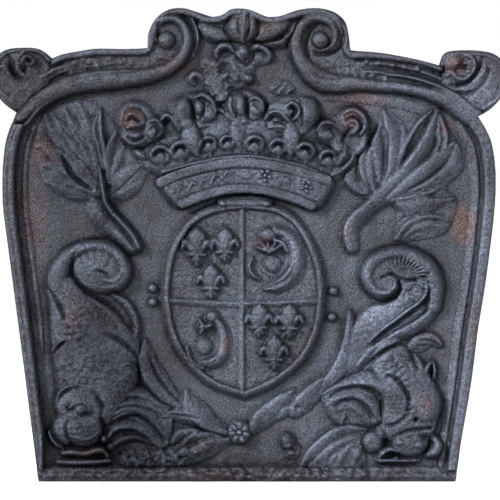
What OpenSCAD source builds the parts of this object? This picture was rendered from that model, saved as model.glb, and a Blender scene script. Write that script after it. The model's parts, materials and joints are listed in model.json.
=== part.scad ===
// Cast iron fireback: an arched plate with a moulded frame, cast in one pour with its relief.
// The relief carries a crowned quartered shield held between two scaly dolphins.
// Axes: the plate stands on z = 0, its carved face looks along -Y and x = 0 is its middle.
// Every carved sub-part is laid out flat, as a pattern maker mounts it on the pattern board.

/* [Plate] */
// Width over the two ears, in mm
plate_width = 514; // [460:1:600]
// Height over the top volutes, in mm
plate_height = 472; // [420:1:560]
// Thickness of the plain plate behind the relief, in mm
plate_thickness = 14; // [8:0.5:24]

/* [Frame] */
// Height of the frame moulding above the field, in mm
frame_height = 11; // [6:0.5:18]
// Height of the top scroll mouldings above the field, in mm
scroll_height = 13; // [8:0.5:20]
// Height of the round eyes in the middle of the volutes, in mm
eye_height = 15; // [10:0.5:22]
// Height of the flat strip along the foot, in mm
foot_height = 6; // [3:0.5:12]
// Width of the flat strip along the foot, in mm
foot_width = 14; // [8:0.5:24]

/* [Crown] */
// Height of the crown's head band above the field, in mm
band_height = 10; // [6:0.5:16]
// Height of the two cords that edge the band, above its front, in mm
cord_height = 2.5; // [1:0.1:4]
// Height of the jewels above the band's front, in mm
jewel_height = 2.5; // [1:0.1:4]
// Height of the scrolls that stand on the band, in mm
curl_height = 11; // [6:0.5:16]
// Height of the leaf fleurons, in mm
fleuron_height = 14; // [8:0.5:20]

/* [Shield] */
// Height of the oval shield's flat above the field, in mm
shield_height = 4; // [2:0.5:8]
// Height of the moulded rim round the shield, in mm
shield_rim_height = 8; // [5:0.5:12]
// Width of the moulded rim round the shield, in mm
shield_rim_width = 7; // [4:0.5:10]
// Width of the bars that quarter the shield, in mm
bar_width = 6; // [3:0.5:10]
// Height of the bars above the shield's flat, in mm
bar_height = 2; // [1:0.1:4]
// Height of the clasp at the top of the shield, above its flat, in mm
clasp_height = 6; // [3:0.5:10]
// Height of the lilies and small dolphins above the shield's flat, in mm
charge_height = 5; // [2:0.5:8]

/* [Supporters] */
// Height of the dolphins' heads and bodies above the field, in mm
dolphin_height = 18; // [10:0.5:24]
// Height of the dolphins' fins, in mm
fin_height = 9; // [5:0.5:14]
// Height of the tail leaves, in mm
tail_height = 12; // [6:0.5:16]
// Height of the two crossed branches, in mm
branch_height = 9; // [5:0.5:14]
// Height of the leaves along the foot, in mm
leaf_height = 11; // [6:0.5:16]

/* [Hidden] */
kx = plate_width / 514;
kz = plate_height / 472;
kw = min(kx, kz);
front = plate_thickness / 2;
steps = 3;
$fn = 40;

// A Catmull-Rom curve through control points of any length
function spline(a, b, c, d, t) =
    (2 * b + (c - a) * t + (2 * a - 5 * b + 4 * c - d) * t * t + (3 * b - a - 3 * c + d) * t * t * t) / 2;
function curve(P, n = steps) = let (m = len(P) - 1)
    [for (i = [0 : m - 1], k = [0 : n - 1])
        spline(P[max(i - 1, 0)], P[i], P[i + 1], P[min(i + 2, m)], k / n), P[m]];

function outline(P, n = steps) = curve(P, n);

// One section of a carved strip: control points hold x, z, half width and height
function across(S, i) =
    let (a = S[max(i - 1, 0)], b = S[min(i + 1, len(S) - 1)], v = [b[0] - a[0], b[1] - a[1]])
    [-v[1], v[0]] / norm(v);
function section(S, i, profile) = let (s = S[i], u = across(S, i))
    [for (q = profile) [s[0] + u[0] * q[0] * s[2], -q[1] * s[3], s[1] + u[1] * q[0] * s[2]]];
function round_back(n = 4) = [for (j = [0 : n]) [-cos(180 * j / n), sin(180 * j / n)]];
function stations(P, tall, n) =
    [for (s = curve(P, n)) [s[0], s[1], max(s[2], 0.6), max(s[3], 0.08) * tall]];

// A carved strip with a rounded back, lying on the field along its control points
module strip(P, tall, n = 2, profile = round_back()) {
    S = stations(P, tall, n);
    m = len(profile);
    for (i = [0 : len(S) - 2])
        hull() polyhedron(concat(section(S, i, profile), section(S, i + 1, profile)),
                          [[for (k = [0 : m - 1]) k], [for (k = [0 : m - 1]) m + k]]);
}

// A run of moulding with any profile, open or undercut nowhere, as one loft
module moulding(P, tall, profile, n = 2) {
    S = stations(P, tall, n);
    m = len(profile);
    last = (len(S) - 1) * m;
    polyhedron(
        [for (i = [0 : len(S) - 1]) each section(S, i, profile)],
        concat([for (i = [0 : len(S) - 2], j = [0 : m - 1])
                    let (a = i * m + j, b = i * m + (j + 1) % m) each [[a, b, a + m], [b, b + m, a + m]]],
               [[for (j = [m - 1 : -1 : 0]) j], [for (j = [0 : m - 1]) last + j]]),
        convexity = 6);
}

// The carving is laid out on a plate of 514 x 472 mm, and spreads with the plate it is mounted on
module on_field(lift = 0) translate([0, -front - lift, 0]) scale([kx, 1, kz]) children();
module at(x, z) translate([x, 0, z]) children();
module slab(t) rotate([90, 0, 0]) linear_extrude(t) children();

// A round boss, turned: a drum with a domed cap
module boss(r, drum, cap) rotate([90, 0, 0]) rotate_extrude() polygon(concat(
    [[0, 0], [r, 0]], [for (i = [0 : 5]) [r * cos(18 * i), drum + cap * sin(18 * i)]]));
// A small scroll: a strip bent round an arc; angles run from +X towards +Z
module curl(p, r, w, tall, from, to, n = 7)
    strip([for (i = [0 : n]) let (a = from + (to - from) * i / n) [p[0] + r * cos(a), p[1] + r * sin(a),
                                                                   w, 1]],
          tall, 1);
keel = [[-1, 0], [-0.15, 1], [1, 0]];
// A leaf from its root to its tip, bowed to the left of that line when bow is positive
module leaf(root, tip, bow, w, tall, n = 2) let (d = tip - root, side = [-d[1], d[0]] / norm(d))
    strip([[each root, w * 0.5, 0.6], [each (root + d * 0.35 + side * bow * 0.8), w, 1],
           [each (root + d * 0.7 + side * bow), w * 0.8, 0.85], [each tip, 0.6, 0.2]], tall, n, keel);

// ---- plate ----
left_side = [[-209, 0], [-214, 41], [-219, 81], [-228, 151], [-238, 226], [-242, 256], [-244.5, 281],
             [-244.5, 311],
             [-242, 336], [-238, 351], [-231, 368]];
left_ear = [[-231, 368], [-243, 377], [-252, 389], [-256, 405], [-252, 421], [-243, 430], [-228, 432.5],
            [-208, 431], [-195, 422]];
left_top = [[-195, 422], [-184, 426], [-168, 429], [-150, 431.5], [-123, 431], [-100, 432]];
left_volute = [[-100, 432], [-99, 447], [-92, 461], [-80, 470], [-66, 472], [-50, 468], [-35, 463]];
crest_top = [[-35, 463], [-26, 465], [-17, 470.5], [-8, 471.5], [2, 470], [14, 465], [20, 463]];
right_volute = [[20, 463], [32, 464], [50, 470], [66, 472], [84, 469], [96, 460], [100, 447], [102, 430]];
right_top = [[102, 430], [114, 429], [132, 427.5], [152, 424], [172, 420], [191, 415]];
right_ear = [[191, 415], [196, 427], [209, 430], [230, 429.5], [246, 426], [257, 415], [258, 399],
             [252, 383], [241, 371], [229, 364]];
right_side = [[229, 364], [237, 351], [243, 336], [246.5, 311], [246.5, 286], [244, 256], [237, 201],
              [229, 151], [222, 96],
              [212.5, 41], [207, 0]];
module plate_outline() polygon(concat(outline(left_side), outline(left_ear), outline(left_top),
    outline(left_volute), outline(crest_top), outline(right_volute), outline(right_top),
    outline(right_ear), outline(right_side)));
module back_plate() color("#3b3f46") on_field(-plate_thickness) slab(plate_thickness) plate_outline();

// ---- frame ----
// Draft band, bead, fillet and cove, from the outer edge inwards
frame_profile = [[-1, 0], [-0.82, 0.75], [-0.45, 0.72], [-0.38, 0.95], [-0.1, 1], [0.12, 0.85], [0.2, 0.5],
                 [0.32, 0.5], [0.42, 0.3], [0.7, 0.12], [1, 0]];
function mirrored(profile) = [for (i = [len(profile) - 1 : -1 : 0]) [-profile[i][0], profile[i][1]]];
module rim_left() color("#4a4e55") on_field()
    moulding([[-200.5, 15, 10, 1], [-204, 41, 10, 1], [-208.5, 81, 10.5, 1], [-216.5, 151, 11.5, 1],
              [-225, 226, 12.5, 1], [-228.5, 256, 12.5, 1],
              [-231.5, 281, 12.5, 1], [-231, 311, 13, 1], [-227.5, 336, 13, 1], [-222, 350, 11, 1]],
              frame_height, frame_profile);
module rim_right() color("#4a4e55") on_field()
    moulding([[199, 15, 9.5, 1], [203, 41, 9.5, 1], [212, 96, 10, 1], [218, 151, 11, 1],
              [225, 201, 11.5, 1],
              [231.5, 256, 12, 1], [233.5, 286, 12.5, 1], [233, 311, 13, 1], [229, 336, 13, 1],
              [222, 351, 11, 1]],
             frame_height, mirrored(frame_profile));
foot_left = -206;
foot_right = 205;
module rim_foot() color("#4a4e55") on_field() translate([foot_left, 0, 0]) rotate([0, 90, 0])
    linear_extrude(foot_right - foot_left) let (edge = -foot_width / kz)
        polygon([[edge, 0], [0, 0], [0, -foot_height], [edge + 3, -foot_height],
                 [edge + 1, 1 - foot_height]]);

left_scroll_profile = [[-1, 0], [-0.9, 0.5], [-0.6, 0.55], [-0.5, 0.85], [-0.25, 1], [-0.02, 0.8],
                       [0.07, 0.5],
                       [0.15, 0.75], [0.45, 0.66], [0.72, 0.9], [0.85, 0.95], [1, 0]];
right_scroll_profile = [[-1, 0], [-0.92, 0.6], [-0.55, 0.65], [-0.46, 1], [-0.28, 0.9], [-0.2, 0.6],
                        [0.2, 0.6],
                        [0.34, 0.85], [0.66, 0.9], [0.73, 0.6], [0.82, 0.9], [1, 0]];
module scroll_left() color("#50545b") on_field()
    moulding([[-225, 359, 7, 0.8], [-215, 372, 8, 0.9], [-198, 386, 10.5, 1], [-176, 402, 17, 1],
              [-148, 410.5, 19.5, 1], [-122, 412, 18, 1],
              [-98, 415, 15, 1], [-80, 418, 11, 1], [-65, 426, 9, 1], [-59.5, 439, 9, 1], [-63, 452, 9, 1],
              [-74, 459, 8.5, 1],
              [-86, 457.5, 7.5, 1], [-94, 449, 6, 0.9], [-95, 440, 4, 0.7]], scroll_height,
              left_scroll_profile, 2);
module scroll_right() color("#50545b") on_field()
    moulding([[224, 359, 7, 0.8], [214, 368, 8, 0.9], [201, 377, 9.5, 1], [178, 394, 15.5, 1],
              [152, 403, 19.5, 1], [130, 406, 19.5, 1],
              [105, 409, 18.5, 1], [85, 411, 15, 1], [69, 415.5, 12, 1], [56, 424, 11, 1],
              [50, 435, 10.5, 1], [51, 448, 10, 1],
              [60, 457, 9, 1], [72, 460, 8, 1], [83, 455, 7, 1], [88, 445, 5, 0.9], [87, 436, 3.5, 0.7]],
             scroll_height, mirrored(right_scroll_profile), 2);
module volute_eyes() color("#5b5f66") on_field() {
    at(-80, 439) boss(8.5, eye_height - 5, 5);
    at(70, 440) boss(8.5, eye_height - 5, 5);
}
module ear_left() color("#50545b") on_field() {
    strip([[-200, 419, 4, 0.5], [-214, 427, 3.5, 0.6], [-232, 428, 4, 0.6], [-246, 421, 5, 0.7],
           [-251, 406, 5.5, 0.8], [-246, 390, 6, 0.8],
           [-236, 382, 6, 0.7], [-228, 381, 4, 0.5]], scroll_height);
    strip([[-224, 428, 3.5, 0.7], [-234, 421, 5, 0.9], [-238, 410, 5.5, 1], [-232, 399, 5, 1],
           [-220, 397, 5, 1], [-211, 405, 5, 1], [-211, 417, 4, 1],
           [-219, 423, 3, 0.9], [-224, 418, 3, 0.8]], scroll_height);
}
module ear_right() color("#50545b") on_field() {
    strip([[198, 420, 4, 0.5], [210, 426, 4, 0.6], [228, 425, 4, 0.7], [243, 421, 5, 0.8],
           [251, 409, 5.5, 0.8], [250, 395, 6, 0.8],
           [243, 384, 6.5, 0.7], [234, 377, 5.5, 0.6], [228, 377, 4, 0.5]], scroll_height);
    strip([[206, 421, 4, 0.8], [218, 421, 4.5, 1], [226, 412, 5, 1], [222, 401, 5, 1], [212, 398, 5, 1],
           [203, 404, 4.5, 0.9],
           [204, 413, 4, 0.9]], scroll_height);
    strip([[232, 423, 3.5, 0.8], [238, 409, 5, 1], [231, 395, 6, 1], [218, 390, 5.5, 1],
           [206, 393, 3.5, 0.8]], scroll_height);
    at(213, 413) boss(5, 4, 4, $fn = 12);
}
module crest_shell() color("#50545b") on_field() {
    for (tip = [[-19, 457], [-13, 465.5], [-5, 468], [3, 464],
                [9, 455]]) leaf([-5, 435], tip, 0, 4.6, scroll_height);
    strip([[-12, 441, 4, 0.7], [-27, 440, 5, 0.8], [-40, 445, 5, 0.8], [-42, 454, 4, 0.7],
           [-34, 458, 3, 0.5]], scroll_height);
    strip([[2, 440, 4, 0.7], [20, 439, 5, 0.8], [31, 443, 5, 0.8], [36, 451, 4, 0.8], [38, 457, 2.5, 0.6]],
          scroll_height);
}
module crest_spray() color("#50545b") on_field() {
    curl([-24, 426], 5.5, 2.5, 7, 0, 270);
    curl([14, 424], 5.5, 2.5, 7, -90, 180);
    strip([[-9, 427, 3.5, 0.7], [-10, 419, 7, 1], [-12, 408, 4, 0.6]], 8);
    for (x = [-18, -10, -2, 6]) at(x, 402) boss(3.6, 1, 3, $fn = 12);
    leaf([-26, 389], [-42, 413], 2, 5, 6);
    leaf([-34, 385], [-54, 405], -3, 4, 6);
    leaf([22, 385], [41, 401], 2, 4, 6);
}

// ---- crown ----
band_top = [[-90, 303], [-78, 309], [-58, 315.5], [-28, 321], [2, 322.5], [32, 319], [52, 314.5], [72, 308],
            [87, 300]];
band_foot = [[68, 270], [52, 278], [34, 285], [14, 289], [-8, 290], [-32, 288], [-50, 282], [-70, 272]];
module crown_band() color("#565a61") on_field() slab(band_height)
    polygon(concat(outline(band_top), outline(band_foot)));
module crown_band_cords() color("#5b5f66") on_field(band_height) {
    strip([[-85, 301, 3, 1], [-58, 311, 3.2, 1], [-28, 316.5, 3.2, 1], [2, 318, 3.2, 1], [34, 314, 3.2, 1],
           [57, 308, 3.2, 1],
           [81, 299, 3, 1]], cord_height);
    strip([[-67, 277, 2.4, 1], [-50, 285.5, 2.4, 1], [-26, 291, 2.4, 1], [2, 292.5, 2.4, 1],
           [32, 288.5, 2.4, 1],
           [50, 282, 2.4, 1], [65, 275, 2.4, 1]], cord_height);
}
module crown_jewels() color("#5b5f66") on_field(band_height) {
    for (p = [[20, 303], [57, 293]]) at(p[0], p[1]) {
        boss(2.6, 0.5, jewel_height - 0.5);
        for (a = [0 : 72 : 359]) rotate([0, a, 0]) translate([5, 0, 0]) boss(2.2, 0.5, jewel_height * 0.6);
    }
    for (p = [[-70, 289], [-45, 298.5], [-20, 304], [0, 305]]) at(p[0], p[1])
        rotate([90, 0, 0]) cylinder(r1 = 5.5, r2 = 2, h = jewel_height, $fn = 4);
}
curl_places = [[-87, 325], [-65, 330], [-41, 334.5], [-19, 336.5], [8, 336], [30, 333.5], [56, 326],
               [79, 319]];
module crown_curls() color("#565a61") on_field() {
    for (p = curl_places) curl(p, 6.5, 3, curl_height, -30, 230);
    for (p = [[-55, 341], [-6, 349], [44, 339]]) at(p[0], p[1]) boss(5, 2, 4, $fn = 12);
}
module crown_fleuron_center() color("#5b5f66") on_field() {
    strip([[-3, 356, 4, 0.6], [-3, 365, 7, 1], [-4, 377, 7, 0.9], [-5, 388, 2, 0.4]], fleuron_height);
    strip([[-5, 357, 3.5, 0.5], [-14, 361, 5, 0.8], [-19, 370, 5, 0.8], [-15, 381, 3, 0.4]],
          fleuron_height);
    strip([[-1, 357, 3.5, 0.5], [6, 361, 5, 0.8], [10, 370, 4.5, 0.8], [8, 382, 3, 0.4]], fleuron_height);
}
module crown_fleuron_left_inner() color("#5b5f66") on_field() {
    strip([[-56, 350, 2, 0.5], [-66, 360, 6, 0.9], [-70, 373, 6, 0.9], [-62, 383, 4, 0.5]], fleuron_height);
    strip([[-50, 350, 3, 0.6], [-51, 365, 7, 1], [-50, 381, 4, 0.6]], fleuron_height);
    strip([[-45, 350, 2, 0.5], [-36, 360, 5, 0.9], [-34, 372, 5, 0.8], [-41, 382, 3, 0.4]], fleuron_height);
}
module crown_fleuron_right_inner() color("#5b5f66") on_field() {
    strip([[40, 347, 4, 0.6], [43, 363, 9, 1], [41, 376, 8, 0.8], [34, 382, 4, 0.4]], fleuron_height);
    strip([[36, 347, 3, 0.5], [26, 356, 5, 0.8], [22, 368, 5, 0.7], [27, 377, 3, 0.4]], fleuron_height);
    strip([[48, 347, 3, 0.5], [60, 357, 6, 0.9], [64, 369, 6, 0.8], [56, 380, 3, 0.4]], fleuron_height);
}
module crown_fleuron_left_outer() color("#5b5f66") on_field() {
    strip([[-98, 335, 3, 0.5], [-108, 344, 6, 0.8], [-119, 354, 6, 0.8], [-125, 367, 4, 0.5]],
          fleuron_height * 0.8);
    strip([[-96, 338, 3, 0.5], [-97, 353, 5, 0.8], [-102, 366, 5, 0.8], [-112, 374, 3, 0.4]],
          fleuron_height * 0.8);
    at(-111, 360) boss(6.5, fleuron_height * 0.5, 4, $fn = 12);
}
module crown_fleuron_right_outer() color("#5b5f66") on_field() {
    strip([[86, 331, 3, 0.5], [91, 343, 6, 0.8], [96, 357, 7, 0.9], [93, 369, 3, 0.5]],
          fleuron_height * 0.8);
    strip([[92, 329, 3, 0.5], [104, 339, 5, 0.8], [113, 351, 5, 0.8], [114, 365, 3, 0.4]],
          fleuron_height * 0.8);
    strip([[82, 335, 2, 0.4], [79, 347, 4, 0.7], [82, 360, 3, 0.4]], fleuron_height * 0.8);
}

// ---- shield ----
shield_left = [[-3, 87], [-28, 95], [-43, 104], [-58, 118], [-70, 135], [-78, 156], [-82, 185], [-80, 211],
               [-75, 231],
               [-67, 246], [-55, 261], [-41, 269.5], [-28, 273]];
shield_right = [[21.5, 273], [32, 270], [46, 261], [57, 246], [65, 230], [71, 211], [73, 189], [72, 173],
                [68, 151],
                [59, 131], [47, 116], [29, 102], [12, 93], [-3, 87]];
// The clasp's left, foot, width and height on the face; its seat breaks the oval at the top
clasp = [-26, 270, 45, 10];
shoulder = shield_right[0][1];
clasp_seat = let (left = clasp[0], right = left + clasp[2], top = clasp[1] + clasp[3])
    [[left, shoulder], [left, top], [right, top], [right, shoulder]];
module shield_outline() polygon(concat(outline(shield_left, 2), clasp_seat, outline(shield_right, 2)));
module shield_field() color("#43474e") on_field() slab(shield_height) shield_outline();
// The rim lies outside the field's edge: q runs from 0 at that edge to 2
rim_profile = [[0, 0], [0.05, 0.75], [0.5, 1], [1.2, 0.95], [1.7, 0.6], [2, 0]];
function widened(P) = [for (p = P) [p[0], p[1], shield_rim_width / 2 / kw, 1]];
module shield_rim_left() color("#565a61") on_field()
    moulding(widened(shield_left), shield_rim_height, rim_profile);
module shield_rim_right() color("#565a61") on_field()
    moulding(widened(shield_right), shield_rim_height, rim_profile);
module shield_bars() color("#565a61") on_field(shield_height) slab(bar_height) intersection() {
    shield_outline();
    union() {
        translate([-6 - bar_width / kx / 2, 0]) square([bar_width / kx, clasp[1]]);
        translate([-100, 179.5 - bar_width / kz / 2]) square([200, bar_width / kz]);
    }
}
// A lily: tall middle petal, two petals that curl outwards, a tie and three short feet
module lily(s) {
    strip([[0, -3 * s, 2 * s, 0.5], [0, 6 * s, 4.4 * s, 1], [0, 17 * s, 0.8, 0.3]], charge_height, 2, keel);
    for (m = [-1, 1]) scale([m, 1, 1])
        strip([[2 * s, -3 * s, 1.8 * s, 0.5], [6 * s, 5 * s, 3 * s, 0.9], [12 * s, 8 * s, 3 * s, 0.8],
               [14.5 * s, 1 * s, 1.2 * s, 0.4]], charge_height, 1, keel);
    strip([[-8 * s, -5 * s, 1.8 * s, 1], [8 * s, -5 * s, 1.8 * s, 1]], charge_height * 0.9, 1);
    for (x = [-7, 0, 7]) strip([[x * 0.5 * s, -7 * s, 2.4 * s, 0.8], [x * s, -15 * s, 1 * s, 0.3]],
                               charge_height, 1, keel);
}
module lily_at(p, s = 1) at(p[0], p[1]) lily(s);
module lilies_upper() color("#5b5f66") on_field(shield_height) {
    lily_at([-51, 232], 1.05);
    lily_at([-24, 234], 0.95);
    lily_at([-37, 198], 0.95);
}
module lilies_lower() color("#5b5f66") on_field(shield_height) {
    lily_at([12, 159], 0.95);
    lily_at([41, 158], 0.95);
    lily_at([26, 127], 0.95);
}
module charge_dolphin_upper() color("#5b5f66") on_field(shield_height) {
    strip([[9, 231, 4, 0.7], [11, 242, 8, 1], [25, 250, 10, 1], [41, 247, 10, 1], [53, 234, 9, 1],
           [56, 217, 8, 0.9],
           [50, 201, 6, 0.8], [36, 192, 4.5, 0.7], [20, 190, 3.5, 0.6], [9, 197, 3, 0.5]], charge_height);
    leaf([10, 196], [4, 219], 3, 4, charge_height);
    leaf([28, 243], [22, 219], -3, 4, charge_height * 0.8);
    leaf([38, 239], [36, 213], -3, 4, charge_height * 0.8);
}
module charge_dolphin_lower() color("#5b5f66") on_field(shield_height) {
    strip([[-56, 146, 4, 0.7], [-50, 156, 7, 1], [-36, 161, 8, 1], [-22, 156, 8, 1], [-16, 141, 7, 1],
           [-20, 124, 6.5, 0.9],
           [-32, 114, 5, 0.8], [-46, 113, 4, 0.7], [-54, 120, 3, 0.6]], charge_height);
    leaf([-52, 119], [-61, 135], 2, 3.5, charge_height);
    leaf([-37, 158], [-44, 131], -3, 4, charge_height * 0.8);
}
module shield_clasp() color("#565a61") on_field(shield_height) slab(clasp_height)
    translate([clasp[0], clasp[1]]) square([clasp[2], clasp[3]]);
module shield_knobs() color("#5b5f66") on_field() for (p = [[85.5, 190], [84, 164], [-95, 193], [-95, 179]])
    at(p[0], p[1]) boss(5, 3, 4);

// ---- supporters ----
// Each dolphin hangs head down: head at the foot, body rising and coiled above it
module dolphin_left_body() color("#50545b") on_field() {
    moulding([[-156, 25, 10, 0.5], [-159, 40, 19, 0.8], [-162, 59, 26, 0.9], [-160, 79, 32, 0.9],
              [-153, 99, 40, 0.8], [-152, 121, 41, 0.8],
           [-159, 144, 34, 0.8], [-171, 167, 24, 0.8], [-182, 185, 16, 0.8], [-186, 203, 13, 0.8],
           [-177, 221, 11, 0.8], [-160, 230, 11, 0.8],
           [-141, 226, 11, 0.7], [-130, 215, 10, 0.7], [-129, 201, 9, 0.7], [-138, 192, 8.5, 0.7],
           [-150, 193, 8, 0.6], [-157, 202, 6, 0.5]],
          dolphin_height, round_back(6));
    at(-184.5, 50) boss(8.5, dolphin_height * 0.45, 5, $fn = 14);
    at(-166, 72) boss(6, dolphin_height * 0.85, 4, $fn = 14);
    at(-148, 214) slab(dolphin_height * 0.62) circle(26, $fn = 20);
    moulding([[-188, 43, 3.5, 0.5], [-181, 34, 5, 0.8], [-164, 27, 5, 0.8], [-143, 29, 5, 0.6]],
             dolphin_height, round_back());
}
module dolphin_left_fins() color("#5b5f66") on_field() {
    leaf([-119, 77], [-99, 81], -3, 4, fin_height);
    leaf([-128.5, 66], [-98, 70], -5, 4.5, fin_height);
    leaf([-131, 54], [-88, 53], -5, 4.5, fin_height);
    leaf([-135, 42], [-84, 40], -5, 4.5, fin_height);
}
module tail_stem_left() color("#5b5f66") on_field()
    strip([[-110, 235, 6, 0.7], [-118, 249, 6, 0.8], [-130, 266, 5.5, 0.8], [-140, 281, 5, 0.8],
           [-145, 289, 4, 0.7]],
          tail_height);
module tail_spray_left() color("#5b5f66") on_field() {
    for (p = [[[-212, 329], -4], [[-208, 351], -3], [[-196, 365], -2], [[-182, 371], 2], [[-168, 375], 4],
              [[-153, 371], 5]])
        leaf([-152, 301], [p[0][0], p[0][1]], p[1], 6, tail_height);
    leaf([-155, 297], [-200, 299], -5, 6, tail_height);
    leaf([-153, 290], [-194, 285], -5, 5, tail_height * 0.8);
    leaf([-134, 285], [-102, 313], 6, 8, tail_height);
}
module dolphin_right_body() color("#50545b") on_field() {
    moulding([[140, 23, 10, 0.5], [150, 38, 20, 0.8], [159, 57, 27, 0.9], [158, 79, 28, 1],
              [148, 99, 27, 0.9],
           [144, 121, 25, 0.8], [151, 143, 24, 0.8], [166, 163, 20, 0.8], [179, 181, 15, 0.8],
           [183, 201, 12, 0.8],
           [173, 216, 11, 0.7], [157, 223, 11, 0.7], [140, 222, 11, 0.7], [127, 214, 10, 0.7],
           [123, 201, 9, 0.7], [130, 190, 8.5, 0.7],
           [142, 190, 8, 0.6], [149, 199, 6, 0.5]], dolphin_height, round_back(6));
    at(182, 35) boss(9, dolphin_height * 0.45, 6, $fn = 14);
    at(163, 64) boss(5.5, dolphin_height * 0.85, 4, $fn = 14);
    at(146, 207) slab(dolphin_height * 0.62) circle(21, $fn = 18);
    moulding([[140, 149, 17, 0.7], [125, 134, 11, 0.7], [113, 119, 7, 0.6], [103, 106, 3, 0.4]],
             dolphin_height, round_back());
    moulding([[126, 47, 4, 0.5], [144, 35, 5, 0.8], [162, 27, 5, 0.8], [179, 24, 4, 0.6]], dolphin_height,
             round_back());
    moulding([[174, 103, 5, 0.5], [182, 89, 8, 0.8], [184, 72, 8, 0.8], [181, 56, 6, 0.7]], dolphin_height,
             round_back());
}
module dolphin_right_fins() color("#5b5f66") on_field() {
    leaf([119, 97], [86, 87], 5, 4.5, fin_height);
    leaf([124, 84], [88, 76], 5, 4.5, fin_height);
    leaf([128, 72], [98, 64], 4, 4.5, fin_height);
    leaf([183, 116], [195, 130], 2, 4, fin_height * 0.8);
    leaf([186, 135], [198, 151], 2, 4, fin_height * 0.8);
}
module tail_stem_right() color("#5b5f66") on_field() {
    strip([[112, 234, 6, 0.7], [104, 247, 6, 0.9], [110, 261, 5.5, 0.8], [123, 275, 5.5, 0.8],
           [134, 287, 5, 0.8]], tail_height);
}
module tail_spray_right() color("#5b5f66") on_field() {
    for (p = [[[116, 333], 3], [[126, 339], 3], [[138, 365], 3], [[153, 363], 3], [[188, 365], 5],
              [[206, 338], 5],
              [[208, 313], 4], [[203, 281], 3], [[197, 253], 2]])
        leaf([140, 289], [p[0][0], p[0][1]], p[1], 6, tail_height);
}

// ---- branches and foot leaves ----
// Each branch is a run of long blades that lap up round the shield from the rosette
module palm_left() color("#5b5f66") on_field() {
    strip([[-20, 50, 2, 0.6], [-35, 58, 5, 0.9], [-48, 69, 7, 1], [-56, 79, 5, 0.9], [-61, 90, 1, 0.4]],
          branch_height, 2, keel);
    strip([[-22, 50, 2, 0.5], [-42, 57, 4, 0.8], [-62, 63, 6, 0.9], [-77, 63, 4.5, 0.8], [-88, 60, 1, 0.3]],
          branch_height, 2, keel);
    strip([[-68, 79, 3, 0.5], [-78, 89, 7, 0.9], [-89, 103, 8, 1], [-98, 120, 6, 0.9],
           [-101, 140, 1.2, 0.3]], branch_height, 2, keel);
}
module palm_right() color("#5b5f66") on_field() {
    strip([[5, 51, 4, 0.6], [13, 61, 7.5, 1], [25, 71, 7, 1], [36, 80, 5.5, 0.9], [45, 88, 1, 0.4]],
          branch_height, 2, keel);
    strip([[47, 71, 4, 0.6], [56, 81, 6.5, 1], [66, 92, 6, 1], [78, 104, 1.5, 0.4]], branch_height, 2,
          keel);
    strip([[75, 90, 2.5, 0.5], [85, 102, 6, 0.9], [96, 118, 7, 1], [102, 134, 6, 1], [104, 150, 5.5, 0.9],
           [102, 165, 1.5, 0.4]],
          branch_height, 2, keel);
    strip([[32, 64, 1.5, 0.4], [39, 70, 3, 0.8], [44, 73, 1.5, 0.5]], branch_height, 1, keel);
}
module rosette() color("#5b5f66") on_field() at(-8, 49) {
    boss(3.8, branch_height * 0.7, 3);
    for (a = [0 : 60 : 359]) rotate([0, a, 0]) translate([7.6, 0, 0]) boss(3.4, branch_height * 0.4, 3);
}
module leaves_foot_left() color("#5b5f66") on_field() {
    strip([[-20, 44, 3, 0.6], [-35, 43, 7, 0.9], [-49, 37, 8, 1], [-62, 28, 5, 0.8]], leaf_height);
    for (p = [[[-120, 17], [-125, 30]], [[-100, 17], [-101, 31]], [[-85, 17], [-86, 29]],
              [[-70, 18], [-78, 30]]])
        leaf([p[0][0], p[0][1]], [p[1][0], p[1][1]], 1, 4, leaf_height * 0.8);
}
module leaves_foot_right() color("#5b5f66") on_field() {
    strip([[57, 18, 3, 0.6], [69, 32, 5, 1], [85, 46, 5.5, 1], [102, 51, 5, 0.9], [114, 51.5, 3, 0.5]],
          leaf_height);
    strip([[66, 17, 2, 0.5], [80, 26, 4, 0.9], [94, 37, 4, 0.8], [107, 40, 1.5, 0.4]], leaf_height * 0.7, 2,
          keel);
    strip([[90, 18, 3, 0.6], [94, 27, 4, 1], [99, 34, 2, 0.5]], leaf_height * 0.8, 2, keel);
    strip([[106, 18, 3, 0.6], [109, 27, 4, 1], [113, 34, 2, 0.5]], leaf_height * 0.8, 2, keel);
    strip([[41, 31, 2.5, 0.5], [40, 40, 5, 1], [43, 48, 2, 0.6]], leaf_height * 0.7, 2, keel);
}

back_plate();
rim_left();
rim_right();
rim_foot();
scroll_left();
scroll_right();
volute_eyes();
ear_left();
ear_right();
crest_shell();
crest_spray();
crown_band();
crown_band_cords();
crown_jewels();
crown_curls();
crown_fleuron_center();
crown_fleuron_left_inner();
crown_fleuron_right_inner();
crown_fleuron_left_outer();
crown_fleuron_right_outer();
shield_field();
shield_rim_left();
shield_rim_right();
shield_bars();
lilies_upper();
lilies_lower();
charge_dolphin_upper();
charge_dolphin_lower();
shield_clasp();
shield_knobs();
dolphin_left_body();
dolphin_left_fins();
tail_stem_left();
tail_spray_left();
dolphin_right_body();
dolphin_right_fins();
tail_stem_right();
tail_spray_right();
palm_left();
palm_right();
rosette();
leaves_foot_left();
leaves_foot_right();
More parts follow.
